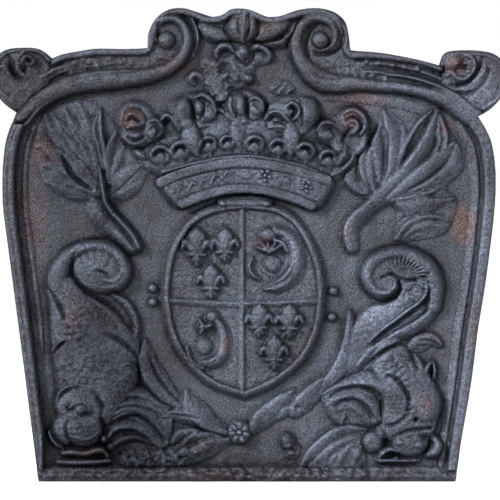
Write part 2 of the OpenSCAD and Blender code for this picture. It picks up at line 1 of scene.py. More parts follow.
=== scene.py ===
"""A cast iron fireback with a crowned shield held between two dolphins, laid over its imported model.

The iron is one sand casting. Each carved piece of the pattern is modelled as a carver lays it on the
board: strokes of a given width and height, worked into a fine grid of heights and then meshed.
Lengths are in mm on the face, x to the right and z up, as the part has them.
"""
import json
import math
import bpy
import numpy as np
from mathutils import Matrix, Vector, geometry

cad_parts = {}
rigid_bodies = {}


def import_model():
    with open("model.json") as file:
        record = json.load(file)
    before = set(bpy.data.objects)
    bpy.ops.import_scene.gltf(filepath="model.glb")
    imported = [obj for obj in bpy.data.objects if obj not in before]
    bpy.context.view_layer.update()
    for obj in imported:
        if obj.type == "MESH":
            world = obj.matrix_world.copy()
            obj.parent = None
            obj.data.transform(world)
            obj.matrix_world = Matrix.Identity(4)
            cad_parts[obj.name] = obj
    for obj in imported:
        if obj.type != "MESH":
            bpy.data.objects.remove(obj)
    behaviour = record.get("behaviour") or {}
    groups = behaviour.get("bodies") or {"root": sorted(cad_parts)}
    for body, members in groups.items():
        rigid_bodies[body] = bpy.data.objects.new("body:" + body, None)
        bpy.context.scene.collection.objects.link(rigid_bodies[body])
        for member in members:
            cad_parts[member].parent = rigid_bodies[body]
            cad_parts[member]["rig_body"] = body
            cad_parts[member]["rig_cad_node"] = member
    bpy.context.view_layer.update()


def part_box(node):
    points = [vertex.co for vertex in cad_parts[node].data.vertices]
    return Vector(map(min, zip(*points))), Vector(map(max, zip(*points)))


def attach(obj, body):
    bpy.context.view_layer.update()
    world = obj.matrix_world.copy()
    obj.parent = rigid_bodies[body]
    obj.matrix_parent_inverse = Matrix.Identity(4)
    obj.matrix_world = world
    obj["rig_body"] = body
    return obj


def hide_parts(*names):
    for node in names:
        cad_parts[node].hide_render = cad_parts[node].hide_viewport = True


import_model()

# ---- Camera ----
# The photograph looks straight at the carved face from a few steps back, and the plate fills it.
MM = 0.001
VIEW_WIDTH = 500 * MM
VIEW_CENTRE = (2 * MM, 231 * MM)
VIEW_DISTANCE = 3.0
camera_data = bpy.data.cameras.new("camera")
camera_data.sensor_width = 36
camera_data.lens = camera_data.sensor_width * VIEW_DISTANCE / VIEW_WIDTH
camera = bpy.data.objects.new("camera", camera_data)
camera.location = (VIEW_CENTRE[0], -VIEW_DISTANCE, VIEW_CENTRE[1])
camera.rotation_euler = (math.radians(90), 0, 0)
bpy.context.scene.collection.objects.link(camera)
bpy.context.scene.camera = camera

# ---- Plate ----
# The plain board that everything is carved on: 14 mm of grey iron, cast face down in open sand, so
# its face keeps the grain of the sand and its back, which lay open, is rough and flat.
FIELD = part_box("back_plate")[0].y / MM   # the face lies at this depth, towards the camera
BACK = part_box("back_plate")[1].y / MM


def curve(points, step=0.8):
    """A smooth line through points of x and z, with a station about every step."""
    p = np.array(points, float)
    ends = np.vstack([p[:1], p, p[-1:]])
    line = []
    for a, b, c, d in zip(ends, ends[1:], ends[2:], ends[3:]):
        count = max(2, int(math.dist(b, c) / step) + 1)
        t = np.linspace(0, 1, count, endpoint=False)[:, None]
        bend = (2 * a - 5 * b + 4 * c - d) * t**2 + (3 * b - a - 3 * c + d) * t**3
        line.append((2 * b + (c - a) * t + bend) / 2)
    return np.vstack(line + [p[-1:]])


# Outline of the plate, clockwise from its bottom left corner
left_side = [[-209, 0], [-214, 41], [-219, 81], [-228, 151], [-238, 226], [-242, 256], [-244.5, 281],
    [-244.5, 311], [-242, 336], [-238, 351], [-231, 368]]
left_ear = [[-231, 368], [-243, 377], [-252, 389], [-256, 405], [-252, 421], [-243, 430], [-228, 432.5],
    [-208, 431], [-195, 422]]
left_top = [[-195, 422], [-184, 426], [-168, 429], [-150, 431.5], [-123, 431], [-100, 432]]
left_hump = [[-100, 432], [-99, 447], [-92, 461], [-80, 470], [-66, 472], [-50, 468], [-35, 463]]
crest_hump = [[-35, 463], [-26, 465], [-17, 470.5], [-8, 471.5], [2, 470], [14, 465], [20, 463]]
right_hump = [[20, 463], [32, 464], [50, 470], [66, 472], [84, 469], [96, 460], [100, 447], [102, 430]]
right_top = [[102, 430], [114, 429], [132, 427.5], [152, 424], [172, 420], [191, 415]]
right_ear = [[191, 415], [196, 427], [209, 430], [230, 429.5], [246, 426], [257, 415], [258, 399],
    [252, 383], [241, 371], [229, 364]]
right_side = [[229, 364], [237, 351], [243, 336], [246.5, 311], [246.5, 286], [244, 256], [237, 201],
    [229, 151], [222, 96], [212.5, 41], [207, 0]]
runs = [left_side, left_ear, left_top, left_hump, crest_hump, right_hump, right_top, right_ear,
    right_side]
OUTLINE_STEP = 1.7
foot_edge = curve([right_side[-1], left_side[0]], OUTLINE_STEP)
outline = np.vstack([curve(run, OUTLINE_STEP)[:-1] for run in runs] + [[right_side[-1]], foot_edge[1:-1]])


def spread(value, along):
    """One number, or several shared out evenly from a stroke's start to its end."""
    value = np.atleast_1d(value).astype(float)
    return np.interp(along, np.linspace(0, 1, len(value)), value)


def soften(heights, radius):
    """Rounds a grid of heights over by a Gaussian of that radius, in grid steps."""
    reach = max(1, int(3 * radius + 0.5))
    weight = np.exp(-0.5 * (np.arange(-reach, reach + 1) / radius) ** 2)
    weight /= weight.sum()
    for axis in (0, 1):
        pads = [(reach, reach) if axis == i else (0, 0) for i in (0, 1)]
        wide = np.pad(heights, pads, mode="edge")
        size = heights.shape[axis]
        heights = sum(w * np.take(wide, range(i, i + size), axis) for i, w in enumerate(weight))
    return heights


LATTICE_SIDE, LATTICE_CORNER = 700, (-330, -60)   # a square that holds the whole plate


def mottle(x, z, size, seed):
    """Smooth random unevenness from -1 to 1 with lumps of about that size, the same over all pieces."""
    lattice = np.random.default_rng(seed).uniform(-1, 1, (int(LATTICE_SIDE / size) + 4,) * 2)
    u, v = (x - LATTICE_CORNER[0]) / size, (z - LATTICE_CORNER[1]) / size
    i, j = u.astype(int), v.astype(int)
    u, v = u - i, v - j
    u, v = u * u * (3 - 2 * u), v * v * (3 - 2 * v)
    low = lattice[i, j] * (1 - u) + lattice[i + 1, j] * u
    high = lattice[i, j + 1] * (1 - u) + lattice[i + 1, j + 1] * u
    return low * (1 - v) + high * v


def sand_skin(x, z):
    """What the moulding sand leaves on the iron: slow waves, grain, and small sunk pits."""
    grain = 0.3 * mottle(x, z, 9, 1) + 0.26 * mottle(x, z, 3.5, 2) + 0.2 * mottle(x, z, 1.8, 3)
    pits = np.clip(mottle(x, z, 2.4, 4) - 0.55, 0, 1) * np.clip(mottle(x, z, 14, 5) + 0.35, 0, 1)
    return grain - 1.3 * pits


def round_back(side):
    """A half round, from its right edge (-1) to its left edge (1)."""
    return np.sqrt(np.clip(1 - side * side, 0, 1))


# Carving is done on a grid of heights: strokes raise it, cuts and dents sink it, swells round it up.
FOOT_FILLET = 1.9   # how far the sand rounds a carving into its seat
THINNEST = 0.35     # lower than this, a carving has run out
LEAST_LEFT = 0.4    # a cut or a dent leaves at least this much
LEAST_RISE = 0.2    # and the grain of the sand leaves this much
finished = []


class Carving:
    """One carved piece: its height over its seat, in mm, on a grid of x and z."""

    def __init__(self, left, bottom, right, top, seat=0, grid=0.75):
        self.grid, self.seat = grid, seat
        self.x0, self.z0 = math.floor(left / grid) * grid, math.floor(bottom / grid) * grid
        self.nx = math.ceil((right - self.x0) / grid) + 1
        self.nz = math.ceil((top - self.z0) / grid) + 1
        across, up = self.x0 + grid * np.arange(self.nx), self.z0 + grid * np.arange(self.nz)
        self.x, self.z = np.meshgrid(across, up)
        self.height = np.zeros((self.nz, self.nx))

    def follow(self, points, width, reach=1):
        """Where each grid point lies on a stroke: how far from its middle, to which side, how far along."""
        line = curve(points)
        run = np.concatenate([[0], np.cumsum(np.hypot(*np.diff(line, axis=0).T))])
        half = np.maximum(spread(width, run / run[-1]), 0.4)
        heading = np.gradient(line, axis=0)
        heading /= np.hypot(*heading.T)[:, None] + 1e-9
        off = np.full(self.x.shape, 9.0)
        station = np.zeros(self.x.shape, int)
        for k, ((x, z), r) in enumerate(zip(line, half * reach)):
            a, b = (max(int((x + s * r - self.x0) / self.grid) + (s > 0) * 2, 0) for s in (-1, 1))
            c, d = (max(int((z + s * r - self.z0) / self.grid) + (s > 0) * 2, 0) for s in (-1, 1))
            patch = np.s_[c:d, a:b]
            away = np.hypot(self.x[patch] - x, self.z[patch] - z) / half[k]
            nearer = away < off[patch]
            off[patch][nearer] = away[nearer]
            station[patch][nearer] = k
        dx, dz = self.x - line[station, 0], self.z - line[station, 1]
        side = (dz * heading[station, 0] - dx * heading[station, 1]) / half[station]
        return off, np.clip(side, -1, 1), run[station] / run[-1], half[station], run[-1]

    def stroke(self, points, width, height, form=round_back, grain=None):
        """Lays a carved stroke over what is there. Width is the half width."""
        off, side, along, half, length = self.follow(points, width)
        ends = np.sqrt(np.clip(1 - (off**2 - side**2) / (1 - side**2 + 0.02), 0, 1))
        rise = spread(height, along) * form(side) * ends
        if grain:
            rise = rise * grain(side * half, along * length)
        self.height = np.where(off < 1, np.maximum(self.height, rise), self.height)
        return self

    def cut(self, points, width, depth):
        """Sinks a groove into what is there, as a gouge does."""
        off, side, along, half, length = self.follow(points, width, 1.8)
        sunk = self.height - spread(depth, along) * np.exp(-1.6 * off**2)
        self.height = np.where(self.height > 0, np.maximum(sunk, LEAST_LEFT), 0)
        return self

    def oval(self, at, width, depth, turn):
        """The squares of how far each grid point lies from an oval's middle, as shares of its reach."""
        c, s = math.cos(math.radians(turn)), math.sin(math.radians(turn))
        x, z = self.x - at[0], self.z - at[1]
        u, v = x * c + z * s, z * c - x * s
        return (u / width) ** 2, (v / (depth or width)) ** 2

    def swell(self, at, width, height, depth=None, turn=0, power=0.5, lift=0):
        """A rounded boss, or an oval one turned by that many degrees."""
        across, up = self.oval(at, width, depth, turn)
        inside = np.clip(1 - across - up, 0, 1)
        boss = lift + height * inside**power
        self.height = np.where(inside > 0, np.maximum(self.height, boss), self.height)
        return self

    def dent(self, at, width, height, depth=None, turn=0):
        """Sinks an oval hollow."""
        across, up = self.oval(at, width, depth, turn)
        sunk = self.height - height * np.exp(-1.2 * (across + up))
        self.height = np.where(self.height > 0, np.maximum(sunk, LEAST_LEFT), 0)
        return self

    def inside(self, points):
        """Which grid points lie inside a closed outline."""
        p = np.array(points, float)
        inside = np.zeros(self.x.shape, bool)
        for (ax, az), (bx, bz) in zip(p, np.roll(p, -1, axis=0)):
            crosses = (az > self.z) != (bz > self.z)
            inside ^= crosses & (self.x < ax + (self.z - az) * (bx - ax) / (bz - az + 1e-12))
        return inside

    def fill(self, points, height):
        """A flat of that height inside a closed outline."""
        self.height = np.where(self.inside(points), np.maximum(self.height, height), self.height)
        return self

    def mass(self, points, height, shoulder=3):
        """A lump with rounded shoulders inside a smooth closed outline, for finer carving to lie on."""
        whole, self.height = self.height, np.zeros_like(self.height)
        self.fill(curve(points + points[:1]), 1)
        lump = np.clip(soften(self.height, shoulder / self.grid) * 1.6 - 0.5, 0, 1) ** 0.7
        self.height = np.maximum(whole, height * lump)
        return self

    def grains(self, at, reach, count, size, rise, seed=0):
        """Small raised grains scattered round a spot, wherever something is carved already."""
        rng = np.random.default_rng(seed)
        for x, z in np.array(at) + np.array(reach) * rng.normal(0, 1, (count, 2)):
            lump = np.exp(-((self.x - x) ** 2 + (self.z - z) ** 2) / (size * rng.uniform(0.6, 1.3)) ** 2)
            self.height += rise * lump * (self.height > 2)
        return self

    def finish(self, soft):
        """Rounds the carving over and fillets its foot, as sand does, and roughens it."""
        fillet = 0.72 * soften(self.height, FOOT_FILLET / self.grid)
        self.final = soften(np.maximum(self.height, fillet), soft / self.grid)
        self.mask = self.final > THINNEST
        grain = sand_skin(self.x, self.z) * np.clip(self.final / 2, 0.3, 1)
        self.final = np.maximum(self.final + grain, LEAST_RISE)
        finished.append(self)


PLATE_GRID = 1.75
SCALE_AT = 20   # rust has lifted the iron in scales at this height, just over the foot
plate = Carving(-257, 0, 259, 473, grid=PLATE_GRID)
plate.fill(outline, 1)
plate.mask = plate.height > 0
plate.final = np.minimum(0.9 * sand_skin(plate.x, plate.z) - 0.2, 0.6)
crust = np.exp(-((plate.z - SCALE_AT) / 13) ** 2) * (plate.x > -80) * (plate.x < 110)
plate.final += 1.6 * crust * np.clip(mottle(plate.x, plate.z, 5, 61), 0, 1)


def to_linear(code):
    """An sRGB hex colour as Blender's linear red, green, blue and alpha."""
    part = [int(code[i:i + 2], 16) / 255 for i in (1, 3, 5)]
    return [c / 12.92 if c <= 0.04045 else ((c + 0.055) / 1.055) ** 2.4 for c in part] + [1]


def add(tree, kind, inputs=(), **settings):
    """Adds a node with its settings; an input takes a value, or another node's output."""
    node = tree.nodes.new(kind)
    for key, value in settings.items():
        setattr(node, key, value)
    for key, value in dict(inputs).items():
        if isinstance(value, bpy.types.NodeSocket):
            tree.links.new(value, node.inputs[key])
        else:
            node.inputs[key].default_value = value
    return node


# Bare iron is blue grey. Handling leaves a graphite sheen on it, fire leaves soot, damp leaves rust. The
# sheen colour is also painted highlight and reflection, the soot colour also painted shade.
GRAPHITE_AND_SHEEN, SOOT_AND_SHADE = "#767d90", "#0e0e10"
RUST_DARK, RUST_PALE = "#4a332d", "#84655a"


def grey_iron(name, deep, raised):
    """Grey cast iron, cast in sand: dull blue grey, grainy at a millimetre, blackened by soot and by
    painted shade in its hollows, with a soft sheen, partly a painted highlight, where hands and brushes
    reach and a dry brown bloom where it has rusted."""
    material = bpy.data.materials.new(name)
    material.use_nodes = True
    tree = material.node_tree
    tree.nodes.clear()
    place = add(tree, "ShaderNodeTexCoord").outputs["Object"]
    skin_at = add(tree, "ShaderNodeAttribute", attribute_name="skin")
    parts = add(tree, "ShaderNodeSeparateColor", {"Color": skin_at.outputs["Color"]})
    # Red is soot and painted shade, green is rubbing and painted highlight, blue is rust.
    soot_and_shade_at, wear_and_sheen_at, rust_at = parts.outputs
    unevenness = []
    for lump, detail, roughness in ((30, 7, 0.66), (5, 5, 0.7), (1.7, 3, 0.7)):
        noise = add(tree, "ShaderNodeTexNoise", {"Vector": place, "Scale": 1 / (lump * MM),
                                                 "Detail": detail, "Roughness": roughness})
        unevenness.append(noise.outputs["Fac"])
    blotch, lumps, sand = unevenness
    tone = add(tree, "ShaderNodeMapRange", {"Value": blotch, "From Min": 0.38, "From Max": 0.62})
    iron = add(tree, "ShaderNodeMix", {0: tone.outputs[0], 6: to_linear(deep), 7: to_linear(raised)},
               data_type="RGBA")
    wear_and_sheen_share = add(tree, "ShaderNodeMath", {0: wear_and_sheen_at, 1: 0.9}, operation="MULTIPLY")
    bloom = add(tree, "ShaderNodeMath", {0: rust_at, 1: lumps}, operation="MULTIPLY")
    patch = add(tree, "ShaderNodeMapRange", {"Value": bloom.outputs[0], "From Min": 0.14, "From Max": 0.62,
                                             "To Max": 0.62})
    oxide = add(tree, "ShaderNodeMix", {0: sand, 6: to_linear(RUST_DARK), 7: to_linear(RUST_PALE)},
                data_type="RGBA")
    black = add(tree, "ShaderNodeMath", {0: soot_and_shade_at, 1: 0.9}, operation="MULTIPLY")
    # Over the iron go graphite sheen, partly painted highlight; rust; and soot, partly painted shade.
    colour = iron.outputs[2]
    for share, coat in ((wear_and_sheen_share, to_linear(GRAPHITE_AND_SHEEN)), (patch, oxide.outputs[2]), (black, to_linear(SOOT_AND_SHADE))):
        coated = add(tree, "ShaderNodeMix", {0: share.outputs[0], 6: colour, 7: coat}, data_type="RGBA")
        colour = coated.outputs[2]
    speck = add(tree, "ShaderNodeMapRange", {"Value": sand, "From Min": 0.3, "From Max": 0.7,
                                             "To Min": 0.2, "To Max": 1.9})
    worn = add(tree, "ShaderNodeVectorMath", {0: colour, "Scale": speck.outputs[0]}, operation="SCALE")
    dry = add(tree, "ShaderNodeMapRange", {"Value": wear_and_sheen_at, "To Min": 0.56, "To Max": 0.36})
    glint = add(tree, "ShaderNodeMapRange", {"Value": lumps, "From Min": 0.5, "From Max": 0.66,
                                             "To Max": 0.8})
    gloss = add(tree, "ShaderNodeMapRange", {"Value": glint.outputs[0], "To Min": dry.outputs[0],
                                             "To Max": 0.24})
    waves = add(tree, "ShaderNodeBump", {"Height": lumps, "Distance": 1.5 * MM, "Strength": 0.9})
    bumps = add(tree, "ShaderNodeBump", {"Height": sand, "Distance": 0.9 * MM, "Strength": 0.9,
                                         "Normal": waves.outputs[0]})
    surface = add(tree, "ShaderNodeBsdfPrincipled", {
        "Base Color": worn.outputs[0], "Metallic": 0.85, "Specular IOR Level": 0.2,
        "Specular Tint": to_linear("#8c8c90"), "Roughness": gloss.outputs[0], "Normal": bumps.outputs[0]})
    add(tree, "ShaderNodeOutputMaterial", {"Surface": surface.outputs[0]})
    return material


# The field stays dull and even: nothing on it stands proud enough to be rubbed.
finishes = {"cast_iron_field": grey_iron("sand_cast_iron_field", "#3f3c40", "#474b52")}


def mount(name, mesh, node, slot):
    """A piece of the casting: it rides on the plate and stands for its node of the model."""
    mesh.materials.clear()
    mesh.materials.append(finishes[slot])
    piece = bpy.data.objects.new(name, mesh)
    bpy.context.scene.collection.objects.link(piece)
    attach(piece, "root")
    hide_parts(node)
    return piece


def shell(name, node, slot, points, faces, smooth):
    """A piece of the casting from its points, in mm, and its faces."""
    mesh = bpy.data.meshes.new(name)
    mesh.vertices.add(len(points))
    mesh.vertices.foreach_set("co", np.asarray(points, np.float32).ravel() * MM)
    corners = np.concatenate([f.ravel() for f in faces]).astype(np.int32)
    sizes = np.concatenate([np.full(len(f), f.shape[1]) for f in faces])
    mesh.loops.add(len(corners))
    mesh.loops.foreach_set("vertex_index", corners)
    mesh.polygons.add(len(sizes))
    mesh.polygons.foreach_set("loop_start", (np.cumsum(sizes) - sizes).astype(np.int32))
    mesh.polygons.foreach_set("use_smooth", smooth)
    mesh.update(calc_edges=True)
    return mount(name, mesh, node, slot)


def border(faces):
    """The one-sided edges of a grid of quads, each in its face's own direction."""
    start, end = faces.ravel(), np.roll(faces, -1, axis=1).ravel()
    many = int(faces.max()) + 1
    alone = ~np.isin(start * many + end, end * many + start)
    return start[alone], end[alone]


def cells(carving):
    """The kept grid points of a carving as x, z and height, and the quads between them."""
    kept = carving.mask
    j, i = np.nonzero(kept[:-1, :-1] & kept[1:, :-1] & kept[:-1, 1:] & kept[1:, 1:])
    corner = j * carving.nx + i
    quads = np.stack([corner, corner + 1, corner + carving.nx + 1, corner + carving.nx], axis=1)
    used, quads = np.unique(quads, return_inverse=True)
    x, z, rise = (grid.ravel()[used] for grid in (carving.x, carving.z, carving.final))
    return x, z, rise, quads.reshape(-1, 4)


def nearest_on_outline(x, z):
    """The closest point of the outline to each given point."""
    ahead = np.roll(outline, -1, axis=0) - outline
    dx, dz = x[:, None] - outline[:, 0], z[:, None] - outline[:, 1]
    share = np.clip((dx * ahead[:, 0] + dz * ahead[:, 1]) / (ahead**2).sum(1), 0, 1)
    best = np.hypot(dx - share * ahead[:, 0], dz - share * ahead[:, 1]).argmin(1)
    spot = outline[best] + share[range(len(x)), best][:, None] * ahead[best]
    return spot[:, 0], spot[:, 1]


EDGE_WEAR = 1.2   # how far the corners are worn round, at the back
EDGE_DROP = 0.3   # and at the face
BACK_GRID = 6
x, z, rise, quads = cells(plate)
y = FIELD - rise
start, end = border(quads)
x[start], z[start] = nearest_on_outline(x[start], z[start])
y[start] = FIELD + EDGE_DROP
following = dict(zip(start, end))
ring = [start[0]]
while following[ring[-1]] != ring[0]:
    ring.append(following[ring[-1]])
ring = np.array(ring)
points, faces = [np.stack([x, y, z], axis=1)], [quads]
upper = ring
for depth in (FIELD + 5, BACK - 4, BACK - EDGE_WEAR):
    bulge = 0.25 * mottle(x[ring], z[ring], 5, int(depth) + 40)
    lower = np.arange(len(ring)) + sum(len(p) for p in points)
    points.append(np.stack([x[ring], depth + bulge, z[ring]], axis=1))
    faces.append(np.stack([np.roll(upper, -1), upper, lower, np.roll(lower, -1)], axis=1))
    upper = lower
back = Carving(-257, 0, 259, 473, grid=BACK_GRID)
back.fill(outline, 1)
j, i = np.nonzero(soften(back.height, 0.8) > 0.97)
around, within = np.stack([x[ring], z[ring]], axis=1), np.stack([back.x[j, i], back.z[j, i]], axis=1)
spots = np.concatenate([around, within])
loop = np.arange(len(ring))
hoop = list(zip(loop.tolist(), np.roll(loop, -1).tolist()))
net = geometry.delaunay_2d_cdt([tuple(p) for p in spots], hoop, [], 1, 1e-4)
back_at = np.array([p[:] for p in net[0]])
back_y = BACK - 0.45 - 0.35 * mottle(back_at[:, 0], back_at[:, 1], 11, 31)
first = sum(len(p) for p in points)
label = {source: upper[source] for source in range(len(ring))}
index = [label.get(origin[0], first + k) if origin else first + k for k, origin in enumerate(net[3])]
points.append(np.stack([back_at[:, 0], back_y, back_at[:, 1]], axis=1))
faces.append(np.array(index)[np.array(net[2])])
all_smooth = np.ones(sum(len(f) for f in faces), bool)
shell("plate_casting", "back_plate", "cast_iron_field", np.concatenate(points), faces, all_smooth)

# ---- Side mouldings and foot strip ----
# A draft band, a bead and a sunk channel run up both sides, and a plain flat strip closes the foot.
# They are planed on the pattern board, and the relief stops against them.
# The frame is the same iron, a little paler where hands and brushes have rubbed it.
finishes["cast_iron_frame"] = grey_iron("sand_cast_iron_frame", "#3a3639", "#494c53")


def moulded(places, heights):
    """A moulding's own section, from its right edge (-1) to its left edge (1)."""
    return lambda side: np.interp(side, places, heights)


def soft_swell(side):
    """A low swell that runs out softly at both edges."""
    return np.clip(1 - side * side, 0, 1) ** 1.6


NEAR_EDGE = 1.4     # grid steps within which a piece is drawn out to the edge of the plate
CORNER_WEAR = 0.9   # how far its corner is worn down there


def set_down(carving, name, slot, soft=0.75, seated=0.3, at_edge=False):
    """Finishes a carving and meshes its face, a short wall down into its seat, and an underside. A
    piece at the edge of the plate is trimmed flush with it, and its corner is worn."""
    carving.finish(soft)
    if at_edge:
        carving.mask &= carving.inside(outline)
    x, z, rise, quads = cells(carving)
    if at_edge:
        rim = np.unique(border(quads)[0])
        edge_x, edge_z = nearest_on_outline(x[rim], z[rim])
        flush = np.hypot(edge_x - x[rim], edge_z - z[rim]) < NEAR_EDGE * carving.grid
        x[rim[flush]], z[rim[flush]] = edge_x[flush], edge_z[flush]
        rise[rim[flush]] = np.maximum(rise[rim[flush]] - CORNER_WEAR, LEAST_RISE)
    seat = FIELD - carving.seat
    y = np.concatenate([seat - rise, np.full(len(x), seat + seated)])
    start, end = border(quads)
    walls = np.stack([end, start, start + len(x), end + len(x)], axis=1)
    points = np.stack([np.tile(x, 2), y, np.tile(z, 2)], axis=1)
    faces = [quads, walls, quads[:, ::-1] + len(x)]
    smooth = np.repeat([True, False, False], [len(f) for f in faces])
    return shell(name + "_casting", name, slot, points, faces, smooth)


LEFT_SECTION = moulded([-1, -0.93, -0.7, -0.62, -0.52, -0.25, -0.08, 0.0, 0.5, 0.68, 0.8, 1],
    [0.45, 0.8, 0.84, 0.74, 1, 1, 0.8, 0.08, 0.02, 0.2, 0.16, 0])
rim = Carving(-248, 12, -205, 356)
rim.stroke([[-198, 14], [-201.5, 41], [-207, 81], [-215.5, 151], [-225, 226], [-229.2, 256],
    [-231.5, 281], [-231.5, 311], [-228.5, 336], [-223, 352]], (11, 12, 12, 12.5, 12.5, 12.5, 12.5, 12),
    11, lambda side: LEFT_SECTION(-side))
set_down(rim, "rim_left", "cast_iron_frame", at_edge=True)

RIGHT_SECTION = moulded([-1, -0.94, -0.7, -0.3, -0.12, -0.02, 0.18, 0.3, 0.36, 0.42, 0.5, 0.56, 0.62, 1],
    [0.4, 0.75, 0.9, 0.9, 0.7, 0.06, 0.06, 0.36, 0.36, 0.26, 0.34, 0.24, 0.2, 0])
rim = Carving(190, 12, 250, 366)
rim.stroke([[197, 14], [201, 41], [209.5, 96], [216.5, 151], [224.5, 201], [231, 256], [233.5, 286],
    [233, 311], [229, 336], [220, 353]], (11, 12, 12.5, 12.5, 12.5, 13, 13.5, 14), 10, RIGHT_SECTION)
set_down(rim, "rim_right", "cast_iron_frame", at_edge=True)

foot = Carving(-210, 0, 209, 17)
foot.fill([[-208.5, 0.5], [-207, 14.5], [208, 14.5], [207, 0.5]], 3)
foot.stroke([[-208, 7], [-98, 6.4], [52, 6], [207, 5.6]], 6, 5, soft_swell)
foot.stroke([[-204, 11.4], [-138, 11.2], [-58, 10.6], [-18, 10]], (1.6, 1.8, 1.6, 1), (5, 6, 5, 3))
foot.grains([-1, 9], (120, 5), 640, 2.4, 1.6, 12)
set_down(foot, "rim_foot", "cast_iron_frame", at_edge=True, soft=0.9)

# ---- Top scrolls ----
# Two C-scrolls rise from the shoulders to the volutes beside the crest. Each is a broad reed under a
# rough hollow and an outer draft band, carved in one with its volute.
def flat_band(side):
    """A flat between two narrow shoulders."""
    return np.clip((1 - abs(side)) * 5, 0, 1) ** 0.7


def fat_back(side):
    """A rounded back that stays full towards its edges."""
    return round_back(side) ** 0.7


def left_high(side):
    """A blade whose left edge, seen from its root, stands up over its neighbour."""
    return round_back(side) ** 0.7 * (0.62 + 0.38 * side)


scroll = Carving(-234, 352, -38, 474)
for stroke in (
    ([[-226, 364], [-208, 381], [-192, 397], [-173, 409], [-150, 415], [-123, 418], [-98, 421],
     [-83, 429], [-76, 443]], (6, 9, 13, 14, 15, 15, 17, 20, 25), (5, 5, 5.5, 5.5, 5.5, 5.5, 5.5, 5),
     flat_band),
    ([[-194, 418], [-184, 422.5], [-168, 425.5], [-150, 428], [-123, 428], [-104, 428.5], [-97.5, 434],
     [-96, 445], [-90, 457], [-80, 465.5], [-66, 468.5], [-52, 464.5], [-40, 459.5]],
     (3, 3.6, 3.6, 3.6, 3.6, 3.6, 4, 4, 3.5, 3), 9.5, flat_band),
    ([[-227, 362], [-218, 371], [-206, 381.5], [-193, 389], [-178, 395], [-163, 399], [-148, 400.5],
     [-128, 402], [-108, 404], [-93, 407], [-80, 411.5], [-69, 420], [-62, 431], [-60.5, 443], [-64, 454],
     [-72, 461], [-82, 461.5], [-90, 456], [-93, 447], [-91, 439]], (5, 6.5, 8, 9, 10, 10.5, 10.5, 10, 9,
     8, 6.8, 6.2, 5.8, 5.4, 5, 4.5, 4, 2.5), (8, 11, 13, 13, 13, 13, 13, 12, 11, 8), fat_back),
):
    scroll.stroke(*stroke)
scroll.cut([[-178, 399], [-163, 403.5], [-148, 406], [-128, 407.5], [-108, 410], [-96, 414], [-84, 421]],
    1.6, (0.6, 1.2, 1.4, 1.6, 1.2))
scroll.stroke([[-225, 353], [-217, 361], [-210, 369], [-202, 375.5], [-193, 381], [-184, 384.5],
    [-174, 389], [-164, 392]], 1.7, (7, 8, 9, 9, 8))
scroll.stroke([[-218, 379.5], [-211, 384.5], [-202, 390.5], [-194, 394.5], [-185, 399]], 1.6,
    (8, 11, 12, 11))
scroll.cut([[-221, 384], [-215, 388], [-203, 395], [-196, 399.5], [-188, 404], [-180, 407]], 1.5, 5)
scroll.cut([[-160, 411], [-148, 412], [-136, 414], [-122, 415.5]], 1.3, (3, 2.5, 1))
scroll.stroke([[-213, 396], [-203, 404], [-192, 411], [-184, 413], [-176, 415]], 2.6, (5, 8, 8, 7))
for spot in ([-205, 404], [-195, 409.5], [-187, 412], [-180, 410.5], [-172, 418], [-158, 418.5],
        [-151, 419.5], [-150, 414], [-164, 421], [-126, 417.5], [-116, 417], [-138, 421]):
    scroll.swell(spot, 3, 2.2, lift=5.2)
scroll.stroke([[-62, 466], [-55, 459], [-50.5, 448], [-51, 435], [-56, 423]], 1.7, (6, 7, 7, 5))
scroll.stroke([[-63.5, 442], [-64.5, 432], [-70, 424.5], [-80, 421], [-89, 424]], 1.5, (10, 10, 9, 6))
scroll.cut([[-89, 457], [-89.5, 448], [-88, 442]], 1.4, 4)
scroll.cut([[-83, 464.5], [-75, 465.2], [-68, 463.5], [-61, 457], [-57, 448]], 1.2, 2.5)
scroll.swell([-76, 461], 3, 1.5, lift=9)
set_down(scroll, "scroll_left", "cast_iron_frame", at_edge=True)

scroll = Carving(20, 352, 232, 474)
for stroke in (
    ([[224, 361], [214, 373], [200, 385], [182, 394], [157, 402], [132, 407], [102, 412], [77, 419],
     [70, 439]], (7, 10, 14, 15, 16, 16, 17, 22, 27), (6, 5.5, 5.5, 5.5, 5.5, 5.5, 5.5, 6), flat_band),
    ([[192, 411], [180, 414], [166, 417.5], [152, 420.5], [132, 423.5], [114, 425], [102, 425.5],
     [97, 433], [96.5, 443], [93, 454], [83, 464.5], [67, 468.5], [52, 466], [37, 461.5], [28, 459.5]],
     (2.6, 3.2, 3.6, 3.6, 3.8, 3.8, 3.6, 3.6, 3.4, 3), 10, flat_band),
    ([[226, 365], [215, 376.5], [204, 386], [190, 393.5], [172, 400], [157, 403.5], [142, 405.5],
     [128, 408], [114, 408], [102, 406]], (9, 7, 4, 2.6, 2.2, 2, 2, 2, 1.5),
     (10, 11, 12, 12, 12, 12, 12, 10, 8, 6)),
    ([[230, 355], [217, 369], [202, 380], [184, 386], [164, 391], [147, 393.5], [127, 395], [107, 397],
     [87, 397], [70, 402], [58, 413], [50, 426], [48, 439], [52, 452], [60, 460], [70, 462.5], [80, 459],
     [86, 451], [87, 441], [83, 434], [75, 430]], (6, 11, 11, 9, 6.5, 6, 6, 6, 6.5, 7.5, 9.5, 11, 10, 8,
     7, 6, 5.5, 5.5, 4.5, 3.5, 2.5), (8, 11, 12, 12, 11.5, 11.5, 12, 12, 12, 12, 12, 12, 11, 10, 8),
     fat_back),
):
    scroll.stroke(*stroke)
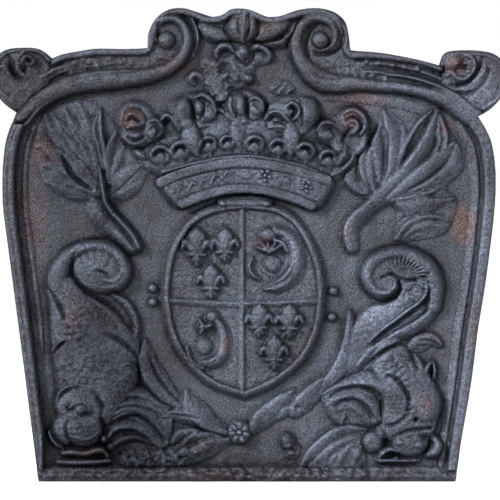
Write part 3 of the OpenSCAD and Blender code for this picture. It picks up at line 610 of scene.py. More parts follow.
for cut in (
    ([[108, 420], [127, 420.5], [152, 417.5], [166, 415.5], [178, 413], [189, 408], [199, 403.5]], 1.7,
     (2, 4, 5, 5, 4)),
    ([[116, 412.5], [132, 413], [149, 411], [164, 407.5], [180, 402.5], [192, 398]], 1.8,
     (2, 5, 6, 6, 5)),
    ([[144, 389.5], [154, 387], [164, 384], [173, 382]], 1.3, 3),
):
    scroll.cut(*cut)
scroll.stroke([[82, 384], [97, 383.5], [112, 382.5], [132, 380], [152, 377], [166, 373], [182, 368]], 6,
    (2, 2.4, 2.8, 2.8, 2), left_high)
scroll.cut([[64, 406], [74, 402], [87, 401.5], [97, 404], [104, 405]], 1.3, 2)
scroll.cut([[79, 411], [92, 412.5], [104, 413]], 1.4, 1.5)
for spot in ([108, 404.5], [115, 403.5], [124, 404.5], [118, 418.5], [130, 417], [144, 415], [156, 413],
        [169, 411], [106, 408], [137, 402], [100, 402]):
    scroll.swell(spot, 2.6, 1.8, lift=6)
scroll.cut([[92, 461], [95, 449], [94, 437], [89, 430], [77, 426], [67, 427]], 1.8, (2, 5, 6, 6, 5))
scroll.cut([[61, 423], [58, 435], [61, 448], [68, 455]], 1.8, (3, 5, 5, 2))
set_down(scroll, "scroll_right", "cast_iron_frame", at_edge=True)

# The eye of each volute is a plain round boss, gouged across once or twice.
eyes = Carving(-96, 420, 88, 458)
eyes.swell([-81, 439.5], 10, 14, power=0.45)
eyes.dent([-75, 437], 4, 2.5)
eyes.cut([[-86, 435], [-80, 432], [-74, 434]], 1.2, 1.5)
eyes.swell([72, 440], 10, 14, power=0.45)
eyes.cut([[76, 448], [81, 441], [78, 434]], 1.1, 2)
set_down(eyes, "volute_eyes", "cast_iron_frame")

# ---- Ears ----
# At each shoulder the frame ends in an ear: a small volute that rolls outwards into a plain rounded
# lobe. It is cast in one with the frame, and its rim is flush with the edge of the plate.
def right_high(side):
    """A blade whose right edge, seen from its root, stands up over its neighbour."""
    return left_high(-side)


ear = Carving(-258, 362, -190, 434)
ear.swell([-226, 405], 30, 7.4, 27, power=0.2)
ear.swell([-234, 389], 24, 7, 17, turn=-32, power=0.3)
ear.stroke([[-236, 380], [-248, 391], [-252, 405], [-249, 419], [-240, 427], [-228, 430], [-216, 429.5],
    [-206, 427], [-198, 420]], (7, 6, 4.5, 3.5, 2.8, 2.4, 2.6, 3), 8.4, soft_swell)
ear.stroke([[-250, 411], [-244, 414], [-240, 410], [-236, 404.5], [-228, 400.5], [-220, 397.5],
    [-210, 397]], (4, 4, 4, 3.5, 3, 2.5), (9, 10, 9, 8, 6))
ear.cut([[-239, 427], [-236, 419], [-235, 411], [-231, 404], [-223, 399]], 3.5, (3, 5, 6, 6, 2))
ear.stroke([[-200, 421], [-207, 426], [-215, 428.5], [-221, 428], [-226, 423], [-230, 416], [-229, 411],
    [-224, 405], [-217, 402], [-210, 404]], (3, 4, 4.5, 3.5, 2.5, 2.4, 2.6, 2.4, 2),
    (6, 9, 12, 12, 12, 12, 11, 10, 7), right_high)
ear.stroke([[-226, 415], [-224, 421], [-220, 424], [-215, 421.5], [-213, 418], [-217, 415.5],
    [-221, 417]], (2, 2.2, 2, 2, 1.8), (10, 12, 12, 11, 9))
ear.swell([-228, 416.5], 2.4, 13)
ear.swell([-223, 420.5], 2.2, 13)
ear.stroke([[-229.5, 413.5], [-226.5, 409.5], [-223, 406], [-218, 402.5]], 1, (12, 12, 11, 9))
ear.dent([-223, 410], 3, 5, 4, turn=-40)
ear.dent([-207, 415], 8, 5, 9)
ear.dent([-218, 421], 3, 3, 2)
ear.swell([-242, 415.5], 2.6, 11)
ear.dent([-237, 384], 2.5, 1.5)
ear.stroke([[-215, 396], [-212, 402], [-205, 405], [-198, 409]], 2.5, (6, 7, 6))
set_down(ear, "ear_left", "cast_iron_frame", at_edge=True)

ear = Carving(188, 360, 260, 434)
ear.swell([226, 401], 33, 8, 31, power=0.2)
ear.swell([230, 383], 24, 8, 14, turn=18, power=0.3)
ear.stroke([[193, 415], [197, 424], [208, 427], [224, 426], [240, 424], [251, 418], [254, 407],
    [253, 393], [247, 380], [236, 372]], (3, 3.4, 3.4, 3, 3, 3.5, 4, 5, 5, 4), 8.8, soft_swell)
ear.swell([204, 418], 11, 11, 9, turn=30, power=0.35)
ear.swell([208, 417], 3.6, 13)
ear.stroke([[199, 405], [204, 407], [208, 402], [216, 401], [223, 406], [226, 414], [223, 422],
    [215, 425]], (3.5, 4, 4, 4, 3.6, 3.2, 3, 2.4), (9, 11, 12, 12, 12, 12, 11, 9))
ear.cut([[226, 423], [228, 415], [225, 406], [219, 400], [210, 396], [202, 395]], 1.3, (2, 3, 4, 5, 4))
ear.dent([215, 413], 4.5, 4, 3.5)
ear.cut([[207, 410], [211, 415], [215, 420]], 1.4, 2.5)
ear.stroke([[219, 407], [220, 410]], 2, 13)
ear.swell([216, 417], 3, 9)
ear.cut([[233, 421], [230, 413], [225, 405], [218, 398], [208, 394]], 2, (3, 6, 6, 6, 3))
ear.stroke([[233, 421], [237, 415], [236.5, 408], [232, 402], [226, 396], [217, 392], [210, 390]],
    (2, 2.6, 3, 3.4, 3.4, 3, 2.4), (9, 12, 13, 12, 11, 10, 9), right_high)
ear.cut([[240, 411], [238, 403], [231, 393], [220, 387], [209, 388]], (2, 2.5, 2.5, 1.8, 1.5),
    (2, 3, 3, 4, 4))
ear.cut([[246, 377], [238, 372], [232, 367]], 1.2, 3)
set_down(ear, "ear_right", "cast_iron_frame", at_edge=True)

# ---- Crest ----
# Between the volutes stands a ribbed shell with a leaf to each side, and under it hang two small
# curls, a faceted drop, a row of beads and some loose foliage.
crest = Carving(-52, 424, 62, 473)
for stroke in (
    ([[-45, 454], [-33, 451], [-20, 455], [-8, 459], [4, 457], [16, 453], [32, 453], [52, 457]],
     (6, 8, 13, 14, 13, 9, 9, 8), 4.5, flat_band),
    ([[-46, 461], [-36, 460], [-26, 461.5], [-17, 467], [-8, 468.2], [2, 467], [13, 462], [20, 460],
     [34, 461], [44, 464.5], [54, 467]], 3.6, 9.5, flat_band),
    ([[-19, 443], [-29, 445], [-39, 449], [-45, 455]], (4, 8, 8, 4), (6, 9.5, 9.5, 6), fat_back),
    ([[6, 443], [15, 447], [24, 450], [33, 453], [39, 458]], (4, 9, 9, 7, 3), (7, 10.5, 11, 10, 7),
     fat_back),
    ([[14, 434], [24, 435], [34, 437], [40, 443], [45, 454]], (2, 4, 4.5, 3.5, 1.5), (6, 9, 10, 9, 7),
     left_high),
    ([[41, 444], [44, 450], [47.5, 457]], (2.2, 3, 1.8), (9, 12, 10)),
    ([[49, 443.5], [52, 450], [56, 459]], (2.8, 3.6, 2.2), (9, 13, 11)),
):
    crest.stroke(*stroke)
crest.swell([-6, 452], 16, 12.5, 16, power=0.4)
crest.swell([-12, 453], 9, 13.5, 13)
crest.swell([2, 454], 7.5, 12.5, 13)
crest.stroke([[-3, 467], [-4, 457], [-5, 447], [-5, 437]], (1.6, 4, 4, 2), (11, 14.5, 14.5, 11))
crest.cut([[1, 466], [2, 457], [0, 447], [-3, 439]], 1.4, (2, 4, 5, 3))
crest.cut([[-8, 465], [-9, 455], [-8, 444]], 1.1, (1, 2.6, 1.6))
crest.swell([-12, 452], 2.4, 15)
for cut in (
    ([[-22, 459], [-23, 450], [-18, 441]], 1.5, (2, 4, 3)),
    ([[11, 457], [10, 447], [4, 439]], 1.8, (2, 5, 4)),
    ([[-42, 444], [-35, 439.5], [-24, 439]], 1.4, 2),
):
    crest.cut(*cut)
set_down(crest, "crest_shell", "cast_iron_frame", at_edge=True)

# What hangs under the shell is relief, and relief is rubbed brighter than the frame.
finishes["cast_iron_relief"] = grey_iron("sand_cast_iron_relief", "#37353b", "#4d525c")
spray = Carving(-62, 380, 50, 440)
spray.mass([[-34, 421], [-34, 431], [-26, 438], [-14, 439], [-5, 443], [6, 437], [16, 436], [24, 427],
    [22, 418], [8, 415], [2, 399], [-8, 391], [-18, 397], [-16, 413]], 4, 3)
spray.stroke([[-31, 423], [-31, 429], [-26, 434], [-19, 434], [-15, 429]], (3, 4, 4, 3.6, 2.6),
    (7, 10, 10.5, 10, 8), fat_back)
spray.cut([[-28, 424], [-26, 428.5], [-21, 429.5], [-18, 427]], 1.5, (3, 5, 5, 2))
spray.cut([[-29, 421], [-23, 422.5], [-16, 426]], 1.4, 2.5)
spray.stroke([[4, 431], [10, 433.5], [17, 430.5], [21.5, 425], [20, 420]], (3, 4, 4, 3.4, 2.2),
    (8, 10, 10, 9, 6), fat_back)
spray.cut([[7, 427], [11, 429.5], [16, 427], [17, 422]], 1.4, (3, 4, 4, 2))
spray.swell([-5, 428], 8, 12.5, 10, power=0.8)
spray.stroke([[-12, 428], [-8, 422], [-5, 419]], (1.6, 2, 1.6), (10, 11.5, 9))
spray.cut([[1, 435], [5, 427], [2, 417], [-3, 415]], 1.8, (3, 5, 4, 2))
spray.stroke([[-15, 417], [-12, 411], [-8, 406]], (7, 8, 6), (5, 6.5, 5), soft_swell)
spray.stroke([[-40, 415], [-36, 403], [-29, 391], [-22, 380]], (8, 13, 13, 6), (3, 5, 5, 3), soft_swell)
spray.swell([-11.5, 401], 4, 8)
spray.swell([0, 402], 7, 8.6, 6)
spray.cut([[-5, 398], [1, 396.4], [6, 399], [6.6, 404]], 1.2, 2.5)
rng = np.random.default_rng(11)
CRUMBS = 90
for crumb in range(CRUMBS):
    along, aside = rng.random(), rng.normal(0, 5.5)
    spot = (-39 + 17 * along + aside, 417 - 35 * along + aside * 0.45)
    spray.swell(spot, 1.3 + 1.6 * rng.random(), 1.4 + 1.6 * rng.random(), lift=2.8)
spray.stroke([[-27, 379], [-23.5, 374.5]], 1.3, 6)
spray.stroke([[-54, 396], [-57, 402], [-53, 406.4], [-47, 404], [-44, 397]], (2, 3.4, 3.6, 3.4, 2),
    (3, 6, 7, 6, 3), fat_back)
spray.cut([[-54, 397], [-51.5, 401.4], [-48, 398]], 1.2, 2.5)
spray.swell([33, 393], 13, 2.6, 8, power=0.6)
for stroke in (
    ([[23, 390], [27, 393], [32, 397.5]], (1.6, 3.2, 1.8), (3, 5.5, 4.5), soft_swell),
    ([[31, 387], [34, 391.5], [38, 396]], (1.6, 2.8, 1.6), (3, 5.5, 4), soft_swell),
    ([[39, 387], [42, 390], [46, 392]], (1.6, 2.4, 1.4), (3, 5, 3.5), soft_swell),
):
    spray.stroke(*stroke)
set_down(spray, "crest_spray", "cast_iron_relief", soft=0.8)

# ---- Crown ----
# An open crown: a curved head band with corded edges and jewels, a row of small curls on it, three
# drop-shaped buds, and five leaf fleurons rising behind them.
curls = Carving(-122, 300, 108, 372)
curls.mass([[-112, 318], [-106, 333], [-92, 340], [-68, 347], [-42, 350], [-20, 354], [-6, 360],
    [14, 356], [34, 351], [58, 343], [74, 336], [102, 335], [108, 317], [92, 303], [78, 301], [52, 310],
    [34, 315], [2, 319], [-28, 318], [-53, 313], [-78, 305], [-96, 309]], 5, 3)
curls.mass([[-88, 349], [-72, 363], [-34, 369], [-22, 377], [14, 373], [52, 365], [82, 353], [92, 341],
    [52, 341], [-8, 345], [-58, 341]], 4, 4)
curls.stroke([[-82, 309], [-58, 316], [-28, 322], [2, 324], [34, 319.5], [58, 313], [78, 304]], 5,
    (8, 11, 11.5, 11.5, 11.5, 11, 8), soft_swell)


def small_curl(carving, eye, size, turn=0, height=10):
    """A fat lobe that rolls over to the right, with a gouged crescent round its eye."""
    def bent(reach, angles):
        turned = [math.radians(angle + turn) for angle in angles]
        return [(eye[0] + size * reach * math.cos(a), eye[1] + size * reach * math.sin(a)) for a in turned]
    carving.swell(eye, size, height + 2.4, 0.9 * size)
    neck = [(eye[0], eye[1] - 0.3 * size), (eye[0] + 0.2 * size, eye[1] - 1.3 * size)]
    carving.stroke(neck, 0.6 * size, (height + 2, 5), soft_swell)
    carving.stroke(bent(0.8, (215, 170, 130, 90, 50, 10)),
                   size * np.array([0.14, 0.26, 0.34, 0.34, 0.28, 0.14]),
                   (height, height + 3, height + 4, height + 4, height + 3, height))
    carving.cut(bent(0.46, (200, 155, 110, 65, 20, -20)), size * 0.17, (1, 4, 5.4, 5.4, 4, 1))


curls.swell([-107, 326], 9, 10, 5, turn=-35)
for eye, size, turn in (
    ([-87, 324], 12, 0),
    ([-67, 328.5], 11.6, 12),
    ([-39, 335], 10, 10),
    ([-20, 337], 9, 15),
    ([7, 335], 11, -5),
    ([30, 332], 10.4, -10),
    ([57, 327.5], 11, -30),
    ([80, 321], 10.4, 0),
):
    small_curl(curls, eye, size, turn, 8.5)
for stroke in (
    ([[-64, 337], [-58, 332], [-52, 325]], 1.5, (8, 11, 8)),
    ([[-58, 355], [-57, 345], [-54, 335], [-49, 324]], (7, 11, 8.5, 1.6), (10, 14.5, 13, 8), fat_back),
    ([[-8, 363], [-8, 351], [-7, 341], [-6, 330]], (6, 11.5, 8.5, 1.6), (10, 14.5, 13.5, 8), right_high),
    ([[42, 355], [43, 344], [43, 334], [42, 323]], (7, 10, 7.5, 1.6), (10, 14, 12, 8), fat_back),
    ([[97, 335], [95, 325], [89, 316]], (4, 6.4, 2.6), (9, 13, 9)),
    ([[107, 330], [102, 319], [93, 310], [85, 306]], (2, 3, 3, 1.6), (8, 10, 10, 8)),
):
    curls.stroke(*stroke)
curls.cut([[-50, 349], [-45, 343], [-45, 335], [-48, 327]], 1.3, (3, 5, 5, 3))
set_down(curls, "crown_curls", "cast_iron_relief")

band = Carving(-96, 266, 94, 328)
band.mass([[-89, 301], [-78, 308.5], [-58, 315], [-28, 321], [2, 322.5], [32, 319], [52, 314.5],
    [72, 308], [86, 300], [83, 291], [71, 272], [52, 277.5], [34, 284], [14, 288], [-8, 289], [-32, 287],
    [-50, 281.5], [-68, 273], [-76, 278], [-87, 292]], 11, 3.4)
band.cut([[-88, 293], [-68, 301.4], [-48, 307.2], [-28, 311.4], [-8, 313], [14, 311.6], [52, 305.6],
    [79, 296.4]], 1.2, 2.6)
band.cut([[-70, 280], [-50, 288.4], [-30, 294], [-8, 295.6], [14, 294], [36, 289.6], [55, 283.6],
    [70, 277]], 1.1, 2)
set_down(band, "crown_band", "cast_iron_relief")


# Two cords are laid along the band, and between them sit knurls, two oval jewels and two flowers.
BAND_FACE = 10   # how high over the field they sit
cords = Carving(-94, 268, 92, 326, BAND_FACE)
cords.stroke([[-87, 298], [-68, 306], [-48, 312], [-28, 316], [-8, 318], [14, 316.5], [37, 312.5],
    [57, 307], [79, 300]], 4.6, 1.5, flat_band)
cords.stroke([[-66, 277], [-48, 284.4], [-28, 290], [-8, 292.6], [14, 291], [34, 286.5], [52, 280.4],
    [64, 275]], 3.8, 1.8, flat_band)
set_down(cords, "crown_band_cords", "cast_iron_relief", seated=4)

jewels = Carving(-78, 280, 66, 312, BAND_FACE)
for knurl in (
    ([-70, 284], [-67, 293], [-59, 289]),
    ([-60, 287], [-55, 298], [-48, 293]),
    ([-49, 292], [-44, 301], [-37, 297]),
    ([-37, 296], [-32, 306], [-25, 301]),
    ([-26, 301], [-20, 309], [-14, 305]),
):
    jewels.stroke(knurl, (1.2, 2, 1.2), (1.8, 3.2, 1.8))
jewels.swell([-2, 305], 8, 2.6, 4.6)
jewels.swell([37, 300], 7, 2.6, 4, turn=-16)
set_down(jewels, "crown_jewels", "cast_iron_relief", seated=4, soft=0.5)


def start_tree(name, inputs):
    """Starts a tree that grows a casting on places, with one named input for each of its sizes."""
    tree = bpy.data.node_groups.new(name, "GeometryNodeTree")
    for label, kind in (("Places", "Geometry"), *inputs, ("Iron", "Material")):
        tree.interface.new_socket(label, in_out="INPUT", socket_type="NodeSocket" + kind)
    tree.interface.new_socket("Casting", in_out="OUTPUT", socket_type="NodeSocketGeometry")
    return tree, add(tree, "NodeGroupInput").outputs


def petal_ring():
    """A tree of nodes that sets a ring of oval domes round each place, and one more in its middle."""
    sizes = [(label, "Float") for label in ("Ring", "Length", "Width", "Rise", "Heart")]
    tree, given = start_tree("petal_ring", [("Petals", "Int")] + sizes)
    circle = add(tree, "GeometryNodeMeshCircle", {"Vertices": given["Petals"], "Radius": given["Ring"]})
    upright = add(tree, "GeometryNodeTransform", {"Geometry": circle.outputs[0],
                                                  "Rotation": (math.pi / 2, 0.3, 0)})
    ball = add(tree, "GeometryNodeMeshUVSphere", {"Segments": 20, "Rings": 12, "Radius": 1})
    oval = add(tree, "ShaderNodeCombineXYZ", {0: given["Length"], 1: given["Rise"], 2: given["Width"]})
    outward = add(tree, "GeometryNodeInputPosition")
    turned = add(tree, "FunctionNodeAlignRotationToVector", {"Vector": outward.outputs[0]}, axis="X",
                 pivot_axis="Y")
    petals = add(tree, "GeometryNodeInstanceOnPoints", {
        "Points": upright.outputs[0], "Instance": ball.outputs[0], "Rotation": turned.outputs[0],
        "Scale": oval.outputs[0]})
    taller = add(tree, "ShaderNodeMath", {0: given["Rise"], 1: 1.15}, operation="MULTIPLY")
    round_dome = add(tree, "ShaderNodeCombineXYZ", {0: given["Heart"], 1: taller.outputs[0],
                                                    2: given["Heart"]})
    heart = add(tree, "GeometryNodeTransform", {"Geometry": ball.outputs[0],
                                                "Scale": round_dome.outputs[0]})
    flower = add(tree, "GeometryNodeJoinGeometry", {"Geometry": petals.outputs[0]})
    tree.links.new(heart.outputs[0], flower.inputs[0])
    flowers = add(tree, "GeometryNodeInstanceOnPoints", {"Points": given["Places"],
                                                         "Instance": flower.outputs[0]})
    finish_tree(tree, flowers, given["Iron"])
    return tree


def finish_tree(tree, instances, iron):
    """Ends a tree: instances made real, shaded smooth and given their iron."""
    real = add(tree, "GeometryNodeRealizeInstances", {0: instances.outputs[0]})
    smooth = add(tree, "GeometryNodeSetShadeSmooth", {0: real.outputs[0]})
    dressed = add(tree, "GeometryNodeSetMaterial", {"Geometry": smooth.outputs[0], "Material": iron})
    add(tree, "NodeGroupOutput", {0: dressed.outputs[0]})


studs = []


def grow(tree, name, node, slot, spots, seat, reach, sizes):
    """Runs a tree over places on the face and keeps the plain mesh it makes. Sizes are in mm."""
    points = bpy.data.meshes.new(name + "_places")
    points.from_pydata([(x * MM, (FIELD - seat) * MM, z * MM) for x, z in spots], [], [])
    sketch = bpy.data.objects.new(name + "_sketch", points)
    bpy.context.scene.collection.objects.link(sketch)
    modifier = sketch.modifiers.new("grow", "NODES")
    modifier.node_group = tree
    wanted = {"Iron": finishes[slot]}
    wanted.update((label, size if label == "Petals" else size * MM) for label, size in sizes.items())
    for item in tree.interface.items_tree:
        if item.name in wanted:
            modifier[item.identifier] = wanted[item.name]
    grown = bpy.data.meshes.new_from_object(sketch.evaluated_get(bpy.context.evaluated_depsgraph_get()))
    bpy.data.objects.remove(sketch)
    studs.extend((spot, reach, seat + sizes["Rise"]) for spot in spots)
    return mount(name, grown, node, slot)


flower_tree = petal_ring()
grow(flower_tree, "crown_jewel_petals", "crown_jewels", "cast_iron_relief", ([17, 305], [58, 294]),
    BAND_FACE, 4, {"Petals": 5, "Ring": 4.8, "Length": 3, "Width": 2.5, "Rise": 4.4, "Heart": 2.2})

# Five leaf fleurons stand on the crown: fat clusters of curled lobes, the middle three upright and
# the outer two rolled into a scroll. The carver undercut them, so black hollows part the lobes.
leaf = Carving(-34, 330, 28, 396)
leaf.mass([[-23, 363], [-22, 379], [-14, 386], [-2, 391], [11, 384], [17, 373], [13, 362], [2, 357],
    [-8, 353], [-18, 357]], 8, 3)
leaf.stroke([[-17, 382], [-18, 374], [-14, 364]], (3, 4, 3), (10, 12.5, 11))
leaf.swell([-8, 375], 7.5, 15.5, 13, power=0.42)
leaf.swell([7, 372], 9, 12.5, 10)
leaf.stroke([[0, 378], [6, 382.5], [13, 379], [15, 370]], (2, 3, 3, 2), (11, 13.5, 13.5, 11))
for cut in (
    ([[-1, 385], [-1.5, 374], [-1, 364], [3, 359]], 2, (3, 7, 7, 4)),
    ([[-13, 381], [-12.5, 373], [-11, 364]], 1.2, (2, 4, 3)),
    ([[3, 372], [7, 375.4], [11, 371]], 1.4, (3, 5, 3)),
):
    leaf.cut(*cut)
leaf.stroke([[-36, 368], [-31, 371], [-25, 369], [-21, 362]], (1.6, 2.4, 2.4, 1.6), (5, 8, 8, 6))
set_down(leaf, "crown_fleuron_center", "cast_iron_relief")

leaf = Carving(-96, 334, -20, 392)
leaf.mass([[-79, 355], [-78, 373], [-70, 383], [-56, 387], [-40, 385], [-31, 375], [-30, 363], [-38, 354],
    [-52, 348], [-68, 348]], 7, 3)
leaf.stroke([[-88, 358], [-83, 364.5], [-77, 364], [-72, 357], [-67, 348]], (2, 3, 3.6, 3.4, 2),
    (7, 10.5, 11, 10, 7))
leaf.swell([-65, 370], 10, 14.5, 15, turn=-18, power=0.4)
leaf.stroke([[-65, 363], [-61, 357], [-57, 350]], (7, 8, 5), (12, 13.5, 11), fat_back)
leaf.swell([-49, 373], 8, 14, 9)
leaf.swell([-39, 367], 9, 12.5, 10)
leaf.stroke([[-54, 382], [-45, 385], [-36, 379], [-32, 370]], (2.4, 3.4, 3.4, 2.4), (10, 12.5, 12.5, 10))
for cut in (
    ([[-59, 382], [-54.5, 373], [-54, 363], [-51, 353]], 1.9, (3, 6, 7, 4)),
    ([[-44, 378], [-44, 370], [-47, 361]], 1.5, (2, 4.5, 3)),
    ([[-51, 360], [-42, 357], [-34, 360]], 1.6, (2, 4, 2)),
):
    leaf.cut(*cut)
set_down(leaf, "crown_fleuron_left_inner", "cast_iron_relief")

leaf = Carving(10, 330, 82, 390)
leaf.mass([[16, 360], [18, 372], [28, 381], [42, 384], [58, 383], [70, 375], [72, 364], [64, 351],
    [52, 343], [35, 345], [20, 351]], 7.5, 3)
leaf.swell([33, 369], 16, 13, 12)
leaf.swell([58, 367], 14, 13.4, 17, turn=-12)
leaf.stroke([[17, 361], [22, 367.5], [31, 368.5], [38, 362], [44, 356]], (2, 2.8, 3, 2.8, 1.8),
    (11, 14.6, 15.2, 14.6, 12))
leaf.cut([[21, 360], [25, 364], [30.5, 364.4], [35, 360]], 1.4, (3, 5, 5, 3))
leaf.swell([27.5, 360], 4.4, 13.5, 2.8)
leaf.stroke([[38, 374], [44, 377.4], [50, 373], [51, 367], [46, 361]], (2, 2.8, 2.8, 2.6, 2),
    (13, 15.6, 16, 15.6, 14))
leaf.cut([[40, 370.4], [44.5, 373], [47, 369], [44, 364]], 1.2, (3, 4, 4, 3))
leaf.cut([[53, 380], [53, 368], [54, 355]], 1.7, (2, 4, 3))
leaf.stroke([[22, 353], [33, 354], [44, 349]], (3.5, 5.5, 3), (9, 12, 11), soft_swell)
set_down(leaf, "crown_fleuron_right_inner", "cast_iron_relief")

leaf = Carving(-134, 322, -76, 386)
leaf.mass([[-130, 360], [-127, 372], [-117, 379], [-106, 378], [-97, 371], [-92, 362], [-84, 358],
    [-84, 348], [-91, 340], [-101, 334], [-111, 331], [-121, 335], [-127, 344], [-126, 351], [-130, 354]],
    7, 3)
leaf.swell([-114, 362], 15, 13, 14, power=0.4)
leaf.cut([[-126, 358], [-123.5, 368], [-116, 373], [-107, 371], [-101, 363]], 1.4, (2, 3.4, 3.6, 3, 2))
leaf.stroke([[-122, 359], [-119, 365], [-114, 366.6], [-108, 363]], (2, 3.2, 3.4, 2),
    (13, 16, 16.4, 13.5))
leaf.cut([[-119, 358.6], [-115.5, 362], [-111, 360], [-105, 356.5]], 1.4, (3, 5.5, 5.5, 3))
leaf.stroke([[-120, 352], [-114, 354.6], [-108, 355.4], [-104, 357]], (2, 3, 3, 1.8),
    (12, 14.6, 14.6, 12.6))
leaf.swell([-113, 344], 12, 11.5, 8)
leaf.stroke([[-123, 342], [-117, 337.5], [-110, 337], [-101, 342]], (1.6, 2.6, 2.6, 1.8), (9, 12, 12, 9))
leaf.cut([[-120, 344], [-115, 340.8], [-109, 341], [-103, 345.4]], 1.3, (3, 5, 5, 3))
leaf.swell([-96, 350], 10, 11.5, 11, power=0.45)
leaf.stroke([[-102, 354], [-97, 359.4], [-90, 359.4], [-85, 352]], (2, 3, 3, 2), (10, 13.4, 13.4, 10.5))
leaf.cut([[-97, 351], [-93, 354], [-89, 349], [-93, 342]], 1.6, (3, 5, 5, 3))
set_down(leaf, "crown_fleuron_left_outer", "cast_iron_relief")

leaf = Carving(62, 310, 126, 384)
leaf.mass([[67, 349], [71, 358], [82, 362], [90, 370], [102, 374], [114, 369], [120, 357], [120, 343],
    [113, 329], [100, 319], [90, 323], [85, 333], [73, 337]], 7, 3)
leaf.swell([102, 358], 17, 13.5, 16, power=0.4)
leaf.stroke([[92, 359], [96, 367], [105, 370], [114, 364], [116.5, 354], [112, 346]],
    (2, 3.4, 4, 4, 3.6, 2.4), (12, 15, 15.6, 15.6, 15, 13))
leaf.stroke([[96, 353], [101, 359], [107.5, 358.4], [109.5, 352], [104, 346.5]], (2, 3, 3, 2.8, 2),
    (13, 16, 16.4, 15.6, 13.6))
leaf.cut([[97.5, 360], [103, 363.4], [110, 360.6], [112, 353], [108, 348]], 1.3, (3, 5, 5, 4, 3))
leaf.cut([[101, 351], [97, 346], [94, 338]], 1.9, (4, 6, 4))
leaf.stroke([[113, 347], [111, 337], [102, 325]], (6, 8, 4), (11, 12.5, 9), left_high)
leaf.swell([79, 347], 11, 11, 10, power=0.45)
leaf.stroke([[69, 350], [74, 356.6], [83, 357.4], [91, 351]], (2, 3, 3, 2), (9, 13, 13, 10.5))
leaf.cut([[73, 347.4], [77, 351.4], [83, 350.8], [86, 345]], 1.4, (3, 5, 5, 3))
leaf.swell([91, 332], 9, 10.5, 9)
set_down(leaf, "crown_fleuron_right_outer", "cast_iron_relief")

# ---- Shield ----
# An oval shield stands 4 mm proud of the field inside a rounded rim, and two thin bars quarter it.
# Three lilies fill each of two quarters and one small dolphin each of the others. All is one casting.
SHIELD_FACE = 4
shield_left = [[-3, 87], [-28, 95], [-43, 104], [-58, 118], [-70, 135], [-78, 156], [-82, 185],
    [-80, 211], [-75, 231], [-67, 246], [-55, 261], [-33, 272], [-3, 276]]
shield_right = [[-3, 276], [27, 272], [46, 261], [57, 246], [65, 230], [71, 211], [73, 189], [72, 173],
    [68, 151], [59, 131], [47, 116], [29, 102], [12, 93], [-3, 87]]
oval = Carving(-86, 84, 78, 280)
oval.fill(list(curve(shield_left)) + list(curve(shield_right)), SHIELD_FACE)
set_down(oval, "shield_field", "cast_iron_field")

SHIELD_RIM = moulded([-1, -0.7, -0.35, 0.1, 0.6, 1], [0, 0.86, 1, 0.92, 0.5, 0])
for hand, line, box in (
    ("left", shield_left, (-92, 80, 0, 284)),
    ("right", shield_right, (-8, 80, 84, 284)),
):
    half = Carving(*box)
    half.stroke(line, 5.4, 8.4, SHIELD_RIM)
    set_down(half, "shield_rim_" + hand, "cast_iron_frame")

bars = Carving(-84, 86, 76, 276, SHIELD_FACE)
bars.stroke([[-6.5, 271], [-6.5, 89]], 2.8, 4.2, left_high)
bars.stroke([[-78, 180], [-44, 177.5], [-6, 176.5], [32, 177.5], [70, 179.5]], 3, 4.2, left_high)
set_down(bars, "shield_bars", "cast_iron_relief")


def lily(carving, at, size):
    """A lily with a pointed middle leaf, a bent leaf to each side and a short foot under a bar."""
    def spot(x, z):
        return at[0] + x * size, at[1] + z * size
    carving.stroke([spot(0, -6), spot(0, 3), spot(0.3, 10), spot(0.5, 19)],
                   size * np.array([3.4, 6.4, 8.6, 1.6]), (7, 9, 9.4, 6.4), fat_back)
    for hand in (-1, 1):
        carving.stroke([spot(2.5 * hand, -5), spot(6.5 * hand, 3), spot(11 * hand, 6.5),
                        spot(14 * hand, 0.5)],
                       (2.6 * size, 3.6 * size, 3.4 * size, 2), (6, 7.6, 7.8, 5.6), fat_back)
        carving.stroke([spot(1.5 * hand, -8), spot(4 * hand, -12)], (3 * size, 1.8), (6, 4))
    carving.stroke([spot(-8, -5.5), spot(8, -5.5)], 2 * size, 7.6)
    carving.stroke([spot(0, -8), spot(0, -15)], (3.4 * size, 1.8), (7.2, 5.4))


for row, box, places in (
    ("upper", (-66, 176, -6, 258), (([-51, 232], 1.05), ([-23, 234], 0.95), ([-37, 198], 0.95))),
    ("lower", (-6, 104, 64, 184), (([11, 159], 0.95), ([41, 158], 0.95), ([26, 127], 0.95))),
):
    lilies = Carving(*box, SHIELD_FACE)
    for at, size in places:
        lily(lilies, at, size)
    set_down(lilies, "lilies_" + row, "cast_iron_relief", soft=0.5)

charge = Carving(-4, 180, 70, 266, SHIELD_FACE)
charge.stroke([[29, 250], [39, 245], [45.5, 235], [48, 223], [46, 211], [39, 201], [29, 194], [18, 192]],
    (7, 9, 10, 10.5, 10.5, 9.5, 7, 2.5), (7, 7.5, 7.5, 7.5, 7.5, 7.5, 6.5, 5), soft_swell)
charge.stroke([[45, 219], [41, 210], [35, 203], [27, 198]], (3, 5.5, 5.5, 2.4), (8, 9.6, 9.6, 7),
    soft_swell)
charge.swell([20.5, 246], 9.5, 9.6, 8)
charge.stroke([[26, 241], [34, 238], [39, 230]], (4, 5, 3), (8, 8.6, 7.6), soft_swell)
for tip in ([9, 234], [13, 238.5], [20, 237], [27, 238], [33, 235.5]):
    charge.stroke([[21.5, 229], tip], (2.6, 1.6), (8.6, 7))
charge.cut([[9, 228.5], [16, 225], [24, 225], [31, 229]], 1.3, (2, 3.4, 3, 1))
charge.stroke([[4, 223], [1, 214], [5, 206], [12, 202]], (2, 3.6, 3.6, 1.6), (5, 6.6, 6.6, 4.6),
    soft_swell)
charge.swell([25, 217], 8.5, 3.6, 9, power=0.6)
charge.cut([[14, 222], [10, 215], [14, 207]], 1.2, 2)
charge.grains([19, 233], (8, 3), 26, 1.3, 1, 9)
